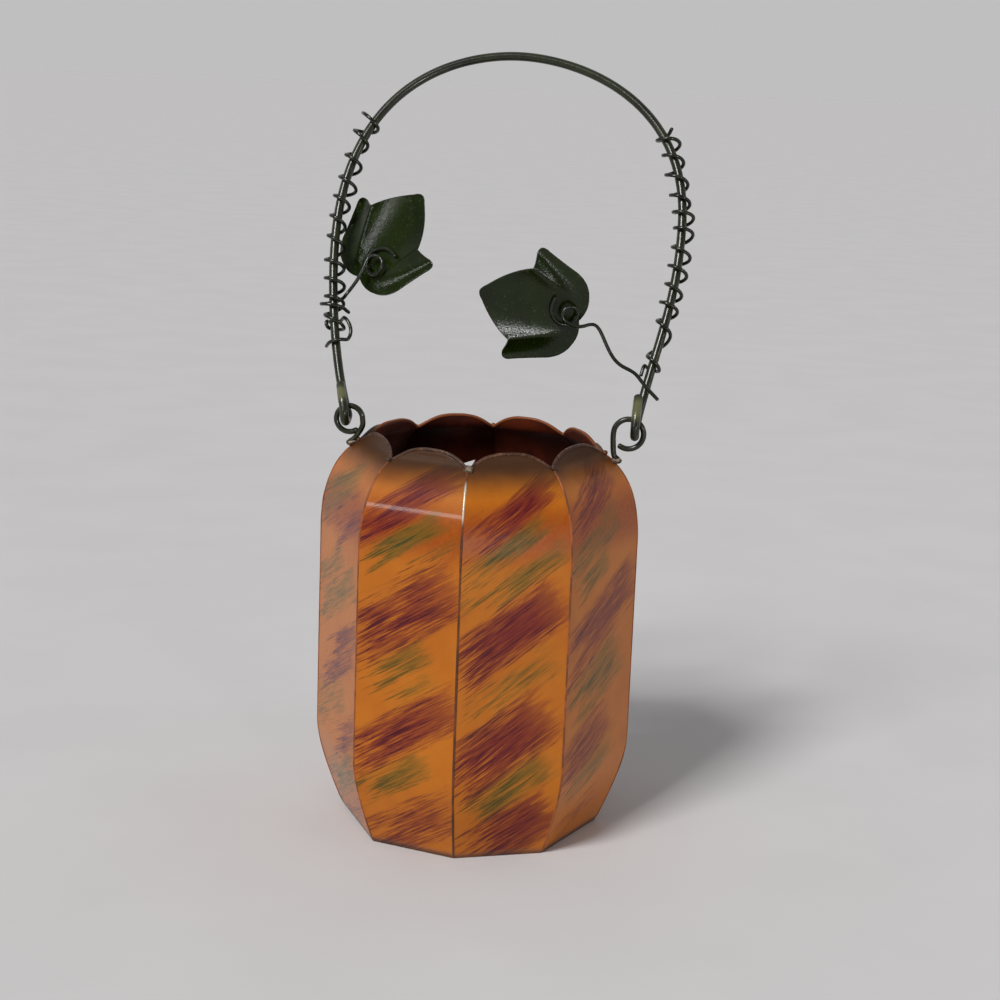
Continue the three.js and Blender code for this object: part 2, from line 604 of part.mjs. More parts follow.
/** Height of a stamped leaf above its base plane: dished between the creases and bent back beyond them. */
function leafHeight(along, out) {
  const ridge = CREASE_RISE * THREE.MathUtils.clamp(along / LEAF_NOTCH_AT, 0, CREASE_LIMIT);
  const crease = creaseOut(along);
  const beyond = (Math.abs(out) - crease) / LOBE_WIDTH;
  if (beyond <= 0) return ridge * (Math.abs(out) / crease) ** DISH_POWER;
  return ridge * (1 - LOBE_FALL * Math.sin(Math.min(1, beyond) * LOBE_TURN * Math.PI));
}

/** One stamped leaf: the creased sheet inside the leaf's outline. */
function leafGeometry() {
  const margin = LEAF_HALF_WIDTH / 4;
  const grids = [-LEAF_SHEET / 2, LEAF_SHEET / 2].map((side) => {
    const grid = [];
    for (let i = 0; i <= LEAF_ROWS; i++) {
      const along = THREE.MathUtils.lerp(-margin, LEAF_LENGTH + margin, i / LEAF_ROWS);
      const crease = creaseOut(along);
      const outs = LEAF_COLUMNS.map((c) => c * crease);
      outs.push(...LOBE_COLUMNS.map((c) => crease + c * LOBE_WIDTH));
      const row = [...outs.slice(1).reverse().map((out) => -out), ...outs];
      grid.push(row.map((out) => v3(along, out, leafHeight(along, out) + side)));
    }
    return grid;
  });
  const outline = new THREE.ExtrudeGeometry(leafShape(), { depth: LEAF_LENGTH, bevelEnabled: false });
  outline.translate(0, 0, -LEAF_LENGTH / 2);
  return geometryOf(solid(sheetBetween(...grids)).intersect(solid(outline)));
}

/** A named mesh in one of the finishes. */
function piece(name, geometry, finish) {
  const mesh = new THREE.Mesh(geometry, new THREE.MeshStandardMaterial(FINISH[finish]));
  mesh.name = name;
  return mesh;
}

const lantern = new THREE.Group();
const PANEL_NAMES = [
  "back_right_panel", "right_back_panel", "right_front_panel", "front_right_panel",
  "front_left_panel", "left_front_panel", "left_back_panel", "back_left_panel",
];
const seams = [...seamAngles(), 360];
PANEL_NAMES.forEach((name, i) => {
  const faced = name.startsWith("front");
  const geometry = faced
    ? facePanelGeometry(seams[i], seams[i + 1], name === "front_left_panel" ? 1 : -1)
    : panelGeometry(seams[i], seams[i + 1]);
  lantern.add(piece(name, geometry, "panel"));
});
lantern.add(piece("base_plate", basePlateGeometry(), "tin"));
const cup = piece("candle_cup", candleCupGeometry(), "tin");
cup.rotation.x = Math.PI / 2;
cup.position.z = SHEET + SOLDER_GAP;
lantern.add(cup);
lantern.add(piece("left_ring", ringGeometry(-1, LEFT_RING_RADIUS, LEFT_RING_X, LEFT_HOOK_X), "handle"));
lantern.add(piece("right_ring", ringGeometry(1, RIGHT_RING_RADIUS, RIGHT_RING_X, RIGHT_HOOK_X), "handle"));

// The handle's group: x to the right, y up its plane and z out of it, towards the back of the lantern.
const handle = new THREE.Group();
handle.position.z = HINGE_HEIGHT;
handle.rotation.x = Math.PI / 2 - radians(HANDLE_LEAN);
handle.add(piece("handle_wire", handleGeometry(), "handle"));
const wires = {
  left_vine_coil: woundPoints(-1, LEFT_WINDING),
  right_vine_coil: woundPoints(1, RIGHT_WINDING),
  left_leaf_stem: [
    ...woundPoints(-1, STEM_WINDING),
    ...stemPoints(LEFT_HOOK_X, LEFT_STEM_BENDS, 0, -HOOK_HALF, LEFT_LEAF),
  ],
  right_leaf_stem: stemPoints(
    RIGHT_HOOK_X, RIGHT_STEM_BENDS, RIGHT_STEM_ON_HANDLE,
    (HANDLE_WIRE + VINE_WIRE) / 2 + SOLDER_GAP - HOOK_HALF, RIGHT_LEAF),
};
for (const [name, path] of Object.entries(wires)) {
  const points = withStraightEnds(path, VINE_WIRE);
  console.log(name, "least gap to itself", leastSelfGap(points, VINE_WIRE).toFixed(2), "mm");
  handle.add(piece(name, wireGeometry(points, VINE_WIRE, VINE_SIDES), "vine"));
}
const leaves = [["left_leaf", LEFT_HOOK_X, LEFT_LEAF], ["right_leaf", RIGHT_HOOK_X, RIGHT_LEAF]];
for (const [name, hookX, place] of leaves) {
  const leaf = piece(name, leafGeometry(), "leaf");
  leaf.applyMatrix4(leafFrame(hookX, place));
  handle.add(leaf);
}

const holder = new THREE.Group();
holder.add(lantern, handle);

export default holder;
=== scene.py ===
"""A jack-o-lantern tea light holder: painted sheet-metal body, wire handle, wound vines and leaves."""

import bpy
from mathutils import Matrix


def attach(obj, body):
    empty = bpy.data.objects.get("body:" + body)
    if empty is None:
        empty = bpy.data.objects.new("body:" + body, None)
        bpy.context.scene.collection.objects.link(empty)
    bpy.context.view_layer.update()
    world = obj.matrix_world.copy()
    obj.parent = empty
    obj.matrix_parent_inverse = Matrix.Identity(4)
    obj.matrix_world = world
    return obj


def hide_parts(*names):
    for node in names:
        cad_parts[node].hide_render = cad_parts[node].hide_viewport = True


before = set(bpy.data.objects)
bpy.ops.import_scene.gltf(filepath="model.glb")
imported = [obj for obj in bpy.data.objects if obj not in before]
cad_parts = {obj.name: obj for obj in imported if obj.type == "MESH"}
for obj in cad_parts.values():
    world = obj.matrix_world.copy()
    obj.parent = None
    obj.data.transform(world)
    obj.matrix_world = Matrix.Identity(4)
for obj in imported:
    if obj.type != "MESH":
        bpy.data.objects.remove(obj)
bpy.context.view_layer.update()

import logging
import math
from collections.abc import Sequence
from dataclasses import dataclass, field
from enum import Enum

import bmesh
import bpy
import numpy as np
from mathutils import Matrix, Vector

log = logging.getLogger("tea_light_holder")
MM = 0.001
LEAST = 1e-6
Colour = tuple[float, float, float, float]
Point = tuple[float, float, float]
Mark = tuple[float, ...]


def srgb(red: int, green: int, blue: int) -> Colour:
    """A linear colour from the eight-bit values that a screen shows.

    Args:
        red: The red value.
        green: The green value.
        blue: The blue value.

    Returns:
        The colour, with full alpha.
    """
    def linear(value: int) -> float:
        """One value as linear light."""
        share = value / 255
        return share / 12.92 if share <= 0.04045 else ((share + 0.055) / 1.055) ** 2.4
    return (linear(red), linear(green), linear(blue), 1.0)


class Side(Enum):
    """A side of the holder, as the sign of its x."""

    LEFT = -1
    RIGHT = 1


class Tint(Enum):
    """The colour of a brush stroke on a panel."""

    MAROON = "maroon"
    OLIVE = "olive"


class Slot(Enum):
    """Names of material slots; the pieces do not use them."""

    PANEL = "panel"
    TIN = "tin"
    HANDLE = "handle"
    VINE = "vine"
    LEAF = "leaf"


# Shader expressions


class Term:
    """A node's output that takes part in Python expressions."""

    def __init__(self, graph: "Graph", made: bpy.types.Node, output: str | int = 0) -> None:
        """Wraps an output.

        Args:
            graph: The graph that the node belongs to.
            made: The node.
            output: The output's place, identifier or name.
        """
        self.graph = graph
        self.made = made
        self.output = output

    @property
    def socket(self) -> bpy.types.NodeSocket:
        """The output socket."""
        return self.graph.socket(self.made.outputs, self.output)

    def other(self, output: str | int) -> "Term":
        """Another output of the same node."""
        return Term(self.graph, self.made, output)

    def _math(self, operation: str, *values: "Term | float") -> "Term":
        """A Math node on this graph."""
        return self.graph.node("ShaderNodeMath", {"operation": operation}, dict(enumerate(values)))

    def __add__(self, other: "Term | float") -> "Term":
        """Sum."""
        return self._math("ADD", self, other)

    def __radd__(self, other: float) -> "Term":
        """Sum with a number on the left."""
        return self._math("ADD", other, self)

    def __sub__(self, other: "Term | float") -> "Term":
        """Difference."""
        return self._math("SUBTRACT", self, other)

    def __rsub__(self, other: float) -> "Term":
        """Difference from a number on the left."""
        return self._math("SUBTRACT", other, self)

    def __mul__(self, other: "Term | float") -> "Term":
        """Product."""
        return self._math("MULTIPLY", self, other)

    def __rmul__(self, other: float) -> "Term":
        """Product with a number on the left."""
        return self._math("MULTIPLY", other, self)

    def __truediv__(self, other: "Term | float") -> "Term":
        """Quotient."""
        return self._math("DIVIDE", self, other)

    def __rtruediv__(self, other: float) -> "Term":
        """Quotient with a number on the left."""
        return self._math("DIVIDE", other, self)

    def __abs__(self) -> "Term":
        """Absolute value."""
        return self._math("ABSOLUTE", self)

    def greater(self, other: "Term | float") -> "Term":
        """The greater of two values."""
        return self._math("MAXIMUM", self, other)

    def ramp(self, low: float, high: float) -> "Term":
        """A smooth step over this value.

        Args:
            low: Where it is 0.
            high: Where it is 1.

        Returns:
            The step.
        """
        return self.graph.node(
            "ShaderNodeMapRange", {"interpolation_type": "SMOOTHSTEP"},
            {"Value": self, "From Min": low, "From Max": high})


class Graph:
    """A node tree under construction."""

    def __init__(self, tree: bpy.types.NodeTree) -> None:
        """Takes over an empty tree.

        Args:
            tree: The tree.
        """
        self.tree = tree
        self.tree.nodes.clear()

    @staticmethod
    def socket(sockets: bpy.types.bpy_prop_collection, key: str | int) -> bpy.types.NodeSocket:
        """A socket by its place, identifier or name.

        Args:
            sockets: The sockets to look among.
            key: The place, identifier or name.

        Returns:
            The socket.
        """
        if isinstance(key, int):
            return sockets[key]
        for socket in sockets:
            if socket.identifier == key:
                return socket
        return next(s for s in sockets if s.name == key and s.enabled)

    def node(self, kind: str, settings: dict[str, object], inputs: dict[str | int, object],
             output: str | int = 0) -> Term:
        """Adds a node.

        Args:
            kind: The node's type.
            settings: Its properties, set first.
            inputs: Values or terms for its sockets.
            output: The output to return.

        Returns:
            The chosen output.
        """
        made = self.tree.nodes.new(kind)
        for name, value in settings.items():
            setattr(made, name, value)
        for key, value in inputs.items():
            socket = self.socket(made.inputs, key)
            if isinstance(value, Term):
                self.tree.links.new(value.socket, socket)
            else:
                socket.default_value = value
        return Term(self, made, output)

    def parts(self, vector: Term) -> tuple[Term, Term, Term]:
        """The three components of a vector."""
        first = self.node("ShaderNodeSeparateXYZ", {}, {0: vector})
        return first, first.other(1), first.other(2)


@dataclass(frozen=True)
class Grain:
    """The size and make-up of a noise.

    Args:
        scale: Its features for each millimetre.
        detail: How many finer layers it has.
        roughness: How strong they are.
    """

    scale: float
    detail: float
    roughness: float


@dataclass(frozen=True)
class Band:
    """A smooth step over a value.

    Args:
        low: The value where it starts.
        high: The value where it is full.
        share: What it gives there.
    """

    low: float
    high: float
    share: float = 1.0

    def over(self, value: Term) -> Term:
        """What the step gives over a value."""
        step = value.ramp(self.low, self.high)
        return step if self.share == 1.0 else step * self.share


class Paint(Graph):
    """A material under construction."""

    def __init__(self, name: str) -> None:
        """Makes an empty material.

        Args:
            name: The material's name.
        """
        self.material = bpy.data.materials.new(name)
        self.material.use_nodes = True
        super().__init__(self.material.node_tree)

    def vector(self, operation: str, first: Term, second: Point, output: str | int = 0) -> Term:
        """A Vector Math node on two vectors."""
        return self.node("ShaderNodeVectorMath", {"operation": operation}, {0: first, 1: second}, output)

    def place(self) -> Term:
        """The place on the object in millimetres."""
        where = self.node("ShaderNodeTexCoord", {}, {}, "Object")
        return self.vector("MULTIPLY", where, (1 / MM, 1 / MM, 1 / MM))

    def join(self, x: Term | float, y: Term | float, z: Term | float) -> Term:
        """A vector from three components."""
        return self.node("ShaderNodeCombineXYZ", {}, {0: x, 1: y, 2: z})

    def noise(self, where: Term, grain: Grain) -> Term:
        """A noise from 0 to 1."""
        return self.node("ShaderNodeTexNoise", {}, {
            "Vector": where, "Scale": grain.scale, "Detail": grain.detail, "Roughness": grain.roughness})

    def blend(self, share: Term | float, first: Term | Colour, second: Term | Colour) -> Term:
        """A mix of two colours."""
        return self.node("ShaderNodeMix", {"data_type": "RGBA"}, {
            "Factor_Float": share, "A_Color": first, "B_Color": second}, "Result_Color")

    def bump(self, height: Term, depth: float, strength: float = 1.0) -> Term:
        """A normal bumped by a height from 0 to 1, with its depth in millimetres."""
        return self.node("ShaderNodeBump", {}, {
            "Height": height, "Distance": depth * MM, "Strength": strength})

    def finish(self, **inputs: object) -> bpy.types.Material:
        """Adds the principled surface.

        Args:
            **inputs: Values or terms for its sockets, with underscores for spaces.

        Returns:
            The finished material.
        """
        surface = self.node("ShaderNodeBsdfPrincipled", {},
                            {name.replace("_", " "): value for name, value in inputs.items()})
        self.node("ShaderNodeOutputMaterial", {}, {"Surface": surface})
        return self.material


@dataclass(frozen=True)
class Stroke:
    """One dry-brush stroke on a panel.

    Args:
        tint: Its colour.
        across: Its middle, to the right of the panel's middle line, in millimetres.
        height: Its middle's height.
        reach: Half of its length.
        spread: Half of its width.
        load: How much paint the brush held, from 0 to 1.
    """

    tint: Tint
    across: float
    height: float
    reach: float
    spread: float
    load: float = 0.6


@dataclass(frozen=True)
class PanelFinish:
    """Orange lacquer, maroon and olive strokes, a brown fade under the rim and a painted dark reflection.

    Heights and depths are in millimetres. A band says how its value brings a colour in.

    Args:
        orange, amber, shoulder_dark_reflection: The ground, its deeper patches, and the deeper red-orange
            painted on the shoulder as a reflection of the dark room.
        maroon, plum: The red strokes where they are thin and thick.
        olive, moss: The green ones.
        soot: The fade, the foot's dark line and the specks.
        cloud, mottle: Wide and small patches.
        amber_cloud, amber_mottle: The amber by each.
        shoulder: Where the painted dark reflection comes in and goes.
        dark_reflection_cover: The painted reflection's even cover, and the mottle's part.
        hairs, clumps: The streaks of single hairs and of clumps of them.
        stretch: Their stretch along the brush's way.
        hair_share: The hairs' share in the streaks.
        ragged: How far each shifts the strokes' ends.
        longer, wider: A stroke's length and width to those of its solid middle.
        ends: How it thins out at its ends.
        soak: What the brush's load adds to the streaks.
        lines, body: The hairs' fine lines and the thick paint, by the streaks.
        veil: The thin wash between the hairs.
        thickness: The parts of hairs, clumps and cloud in the paint's thickness.
        plum_in, moss_in: The plum and the moss by the thickness.
        plum_cover, moss_cover: What the strokes' cover adds to it.
        olive_cover: The green strokes' cover.
        fade: Where the brown comes in under the rim.
        fade_ragged: How far the cloud shifts it.
        fade_cover: Its cover.
        foot, foot_cover: Where the dark line goes, and its cover.
        dust, specks: The specks' grain, and the specks by it.
        peel, peel_parts: The lacquer's unevenness, wide and fine, and the parts of both.
        peel_depth: Its depth.
        ridge: How far the strokes stand out on it.
        bump: How strongly all of it shows.
        roughness: The even roughness, and what mottle and fade add.
        gloss: The specular level.
        coat, coat_fade: The clear coat's weight, and what the fade takes from it.
        coat_roughness: The coat's roughness.
    """

    orange: Colour = srgb(182, 105, 26)
    amber: Colour = srgb(166, 88, 20)
    # Painted reflection: a deeper red-orange that stands for the dark room mirrored in the shoulder.
    shoulder_dark_reflection: Colour = srgb(140, 58, 12)
    maroon: Colour = srgb(112, 38, 30)
    plum: Colour = srgb(68, 18, 28)
    olive: Colour = srgb(98, 84, 28)
    moss: Colour = srgb(58, 62, 22)
    soot: Colour = srgb(54, 36, 24)
    cloud: Grain = Grain(0.07, 3, 0.6)
    mottle: Grain = Grain(0.9, 3, 0.6)
    amber_cloud: Band = Band(0.35, 0.72, 0.55)
    amber_mottle: Band = Band(0.55, 0.8, 0.12)
    shoulder: tuple[Band, Band] = (Band(77, 85), Band(89, 97))
    dark_reflection_cover: tuple[float, float] = (0.42, 0.6)
    hairs: Grain = Grain(2.4, 3, 0.75)
    clumps: Grain = Grain(0.7, 2, 0.6)
    stretch: tuple[float, float] = (0.04, 0.12)
    hair_share: float = 0.66
    ragged: tuple[float, float] = (22, 20)
    longer: float = 1.28
    wider: float = 1.6
    ends: Band = Band(0.0, 0.25)
    soak: float = 0.25
    lines: Band = Band(0.51, 0.62, 0.44)
    body: Band = Band(0.51, 0.8, 0.46)
    veil: float = 0.26
    thickness: tuple[float, float, float] = (0.6, 0.25, 0.15)
    plum_in: Band = Band(0.58, 0.72)
    plum_cover: float = 0.1
    moss_in: Band = Band(0.54, 0.66)
    moss_cover: float = 0.08
    olive_cover: float = 0.9
    fade: Band = Band(96, 104)
    fade_ragged: float = 3.0
    fade_cover: float = 0.95
    foot: Band = Band(0.2, 1.6)
    foot_cover: float = 0.6
    dust: Grain = Grain(2.6, 2, 0.5)
    specks: Band = Band(0.7, 0.76, 0.5)
    peel: tuple[Grain, Grain] = (Grain(0.55, 2, 0.5), Grain(2.2, 2, 0.6))
    peel_parts: tuple[float, float] = (0.7, 0.3)
    peel_depth: float = 0.09
    ridge: float = 0.35
    bump: float = 0.6
    roughness: tuple[float, float, float] = (0.25, 0.14, 0.14)
    gloss: float = 0.13
    coat: float = 0.22
    coat_fade: float = 0.2
    coat_roughness: float = 0.08

    def _cover(self, along: Term, over: Term, bristle: Term, shift: Term,
               strokes: Sequence[Stroke], turn: float) -> Term:
        """How much paint the strokes of one colour leave.

        Args:
            along: The place along the brush's way.
            over: The place across it.
            bristle: The hairs' streaks along the way, from 0 to 1.
            shift: An uneven shift of the strokes' ends, in millimetres.
            strokes: The strokes.
            turn: The slant of the brush's way, in radians.

        Returns:
            The cover, from 0 to 1.
        """
        total: Term | None = None
        for stroke in strokes:
            middle = stroke.across * math.cos(turn) + stroke.height * math.sin(turn)
            aside = stroke.height * math.cos(turn) - stroke.across * math.sin(turn)
            far = abs(along + shift - middle) / (stroke.reach * self.longer)
            wide = abs(over - aside) / (stroke.spread * self.wider)
            inside = 1 - (far * far).greater(wide * wide)
            wetted = bristle + inside * (stroke.load * self.soak)
            held = self.lines.over(wetted) + self.body.over(wetted)
            held = (held + inside * (stroke.load * self.veil)) * self.ends.over(inside)
            total = held if total is None else total.greater(held)
        return total

    def build(self, name: str, facing: float, slant: float, strokes: Sequence[Stroke],
              seed: float) -> bpy.types.Material:
        """Makes the lacquer of one panel.

        Args:
            name: The material's name.
            facing: The angle that the panel faces, from the back, in degrees.
            slant: The slant of the brush's way, in degrees.
            strokes: The panel's strokes.
            seed: A shift of the noise, so that no two panels match.

        Returns:
            The material.
        """
        paint = Paint(name)
        place = paint.place()
        x, y, height = paint.parts(place)
        middle, turn = math.radians(facing), math.radians(slant)
        across = x * math.cos(middle) + y * math.sin(middle)
        along = across * math.cos(turn) + height * math.sin(turn)
        over = height * math.cos(turn) - across * math.sin(turn)
        hairs, clumps = (
            paint.noise(paint.join(along * stretch + seed, over, seed), grain)
            for stretch, grain in zip(self.stretch, (self.hairs, self.clumps)))
        bristle = hairs * self.hair_share + clumps * (1 - self.hair_share)
        shift = (hairs - 0.5) * self.ragged[0] + (clumps - 0.5) * self.ragged[1]
        maroon, olive = (
            self._cover(along, over, bristle, shift, [s for s in strokes if s.tint is tint], turn)
            for tint in (Tint.MAROON, Tint.OLIVE))
        cloud = paint.noise(place, self.cloud)
        mottle = paint.noise(place, self.mottle)
        patches = self.amber_cloud.over(cloud) + self.amber_mottle.over(mottle)
        ground = paint.blend(patches, self.orange, self.amber)
        # Painted reflection: the shoulder is tinted deeper red-orange where the lacquer mirrors the dark
        # room.
        shoulder = self.shoulder[0].over(height) * (1 - self.shoulder[1].over(height))
        even, mottled = self.dark_reflection_cover
        ground = paint.blend(shoulder * (even + mottle * mottled), ground, self.shoulder_dark_reflection)
        by_hairs, by_clumps, by_cloud = self.thickness
        thick = hairs * by_hairs + clumps * by_clumps + cloud * by_cloud
        red = paint.blend(self.plum_in.over(thick + maroon * self.plum_cover), self.maroon, self.plum)
        green = paint.blend(self.moss_in.over(thick + olive * self.moss_cover), self.olive, self.moss)
        colour = paint.blend(olive * self.olive_cover, ground, green)
        colour = paint.blend(maroon, colour, red)
        fade = self.fade.over(height + cloud * self.fade_ragged)
        colour = paint.blend(fade * self.fade_cover, colour, self.soot)
        # A darker band along the bottom edge, up to 1.6 mm high.
        foot = 1 - self.foot.over(height)
        colour = paint.blend(foot * self.foot_cover, colour, self.soot)
        colour = paint.blend(self.specks.over(paint.noise(place, self.dust)), colour, self.soot)
        wide, fine = (paint.noise(place, grain) for grain in self.peel)
        by_wide, by_fine = self.peel_parts
        ridges = wide * by_wide + fine * by_fine + (maroon + olive) * bristle * self.ridge
        plain, by_mottle, by_fade = self.roughness
        return paint.finish(
            Base_Color=colour, Roughness=plain + mottle * by_mottle + fade * by_fade,
            Specular_IOR_Level=self.gloss, Coat_Weight=self.coat - fade * self.coat_fade,
            Coat_Roughness=self.coat_roughness, Metallic=0.0,
            Normal=paint.bump(ridges, self.peel_depth, self.bump))


@dataclass(frozen=True)
class DarkPaint:
    """Thin dark brown paint over tinplate, with redder patches, brush marks and a few bare spots."""

    base: Colour = srgb(62, 22, 12)
    rust: Colour = srgb(104, 40, 18)
    metal: Colour = srgb(120, 104, 90)
    cloud: Grain = Grain(0.09, 4, 0.6)
    rust_in: Band = Band(0.38, 0.7, 0.8)
    brush: Grain = Grain(0.5, 3, 0.6)
    stretch: tuple[float, float] = (0.4, 2.2)
    worn: Grain = Grain(1.3, 4, 0.7)
    worn_in: Band = Band(0.68, 0.74)
    bare_cover: float = 0.35
    roughness: tuple[float, float, float] = (0.42, 0.2, 0.1)
    shine: float = 0.5
    gloss: float = 0.25
    depth: float = 0.08
    bump: float = 0.5

    def build(self, name: str) -> bpy.types.Material:
        """Makes the paint.

        Args:
            name: The material's name.

        Returns:
            The material.
        """
        paint = Paint(name)
        place = paint.place()
        x, y, height = paint.parts(place)
        cloud = paint.noise(place, self.cloud)
        along, across = self.stretch
        streak = paint.noise(paint.join(x * along, y * along, height * across), self.brush)
        colour = paint.blend(self.rust_in.over(cloud), self.base, self.rust)
        bare = self.worn_in.over(paint.noise(place, self.worn))
        colour = paint.blend(bare * self.bare_cover, colour, self.metal)
        plain, by_streak, by_bare = self.roughness
        return paint.finish(
            Base_Color=colour, Roughness=plain + streak * by_streak - bare * by_bare,
            Metallic=bare * self.shine, Specular_IOR_Level=self.gloss,
            Normal=paint.bump(streak + cloud, self.depth, self.bump))


@dataclass(frozen=True)
class BeadFinish:
    """Paint over a bead, worn in places, with an orange painted sheen on the face's side, where its top
    catches light at a grazing angle.

    Args:
        dark: The brown of the plain side.
        clean_and_sheen_orange: The orange of the painted sheen on the face's side and of the cleaner
            patches.
        worn: Where the paint has gone thin.
        bare: The bright colour of the painted highlight, like bare solder.
        patch, fine: The grain of wide and of small patches.
        far_side_sheen: The y over which the painted sheen on the face's side begins.
        far_sheen_ragged: How far the wide patches shift it.
        far_sheen_cover: How strongly the painted sheen covers the face's side.
        clean_in, patches: The orange by the wide patches, and how much of it shows on the plain side.
        worn_in, wear: The wear by the patches, and how much of the paint is worn.
        wear_parts: The parts of small and wide patches in the wear.
        glint: Whether a painted highlight, bright and partly metallic like bare solder, lies just under the
            notch on the side away from the face.
        glint_at, glint_cover: Where the glint comes in and goes, and its cover.
        glint_wear: How worn the paint is there.
        roughness: The even roughness, what the wear takes and what the small patches add.
        shine, gloss: How metallic the worn places are, and the specular level.
        depth, bump: The depth of the unevenness, and how strongly it shows.
    """

    dark: Colour = srgb(56, 32, 20)
    clean_and_sheen_orange: Colour = srgb(156, 80, 34)
    worn: Colour = srgb(140, 108, 84)
    # The painted highlight's colour.
    bare: Colour = srgb(214, 200, 176)
    patch: Grain = Grain(0.22, 3, 0.6)
    fine: Grain = Grain(1.5, 3, 0.65)
    far_side_sheen: Band = Band(2, 14)
    far_sheen_ragged: float = 12.0
    far_sheen_cover: float = 0.62
    clean_in: Band = Band(0.4, 0.62)
    patches: float = 0.1
    worn_in: Band = Band(0.54, 0.7)
    wear: float = 0.4
    wear_parts: tuple[float, float] = (0.7, 0.4)
    glint: bool = False
    glint_at: tuple[Band, Band] = (Band(89, 92), Band(98, 100))
    glint_cover: float = 0.85
    glint_wear: float = 0.8
    roughness: tuple[float, float, float] = (0.4, 0.15, 0.1)
    shine: float = 0.6
    gloss: float = 0.3
    depth: float = 0.1
    bump: float = 0.6

    def build(self, name: str) -> bpy.types.Material:
        """Makes the bead's paint.

        Args:
            name: The material's name.

        Returns:
            The material.
        """
        paint = Paint(name)
        place = paint.place()
        _, y, height = paint.parts(place)
        patch = paint.noise(place, self.patch)
        fine = paint.noise(place, self.fine)
        # Painted sheen: the face's side of the bead turns orange, as if its top caught light at a grazing
        # angle.
        far_side_sheen = self.far_side_sheen.over(y + patch * self.far_sheen_ragged)
        clean_and_sheen_orange = (far_side_sheen * self.far_sheen_cover).greater(self.clean_in.over(patch) * self.patches)
        colour = paint.blend(clean_and_sheen_orange, self.dark, self.clean_and_sheen_orange)
        by_fine, by_patch = self.wear_parts
        worn = self.worn_in.over(fine * by_fine + patch * by_patch) * self.wear
        if self.glint:
            # Painted highlight: a bright band just under the notch, away from the face, also made partly
            # metallic.
            low, high = (band.over(height) for band in self.glint_at)
            band = low * (1 - high) * (1 - far_side_sheen)
            colour = paint.blend(band * self.glint_cover, colour, self.bare)
            worn = worn.greater(band * self.glint_wear)
        else:
            colour = paint.blend(worn, colour, self.worn)
        plain, by_wear, rough_fine = self.roughness
        return paint.finish(
            Base_Color=colour, Roughness=plain - worn * by_wear + fine * rough_fine,
            Metallic=worn * self.shine, Specular_IOR_Level=self.gloss,
            Normal=paint.bump(fine, self.depth, self.bump))


@dataclass(frozen=True)
class Solder:
    """Dull grey solder with thin brown paint in its hollows."""

    grey: Colour = srgb(132, 118, 100)
    brown: Colour = srgb(70, 46, 34)
    lump: Grain = Grain(0.8, 3, 0.6)
    brown_in: Band = Band(0.42, 0.6)
    roughness: tuple[float, float] = (0.34, 0.25)
    shine: tuple[float, float] = (0.45, 0.3)
    depth: float = 0.2
    bump: float = 0.8

    def build(self, name: str) -> bpy.types.Material:
        """Makes the solder.

        Args:
            name: The material's name.

        Returns:
            The material.
        """
        paint = Paint(name)
        lump = paint.noise(paint.place(), self.lump)
        return paint.finish(
            Base_Color=paint.blend(self.brown_in.over(lump), self.grey, self.brown),
            Roughness=self.roughness[0] + lump * self.roughness[1],
            Metallic=self.shine[0] - lump * self.shine[1],
            Normal=paint.bump(lump, self.depth, self.bump))


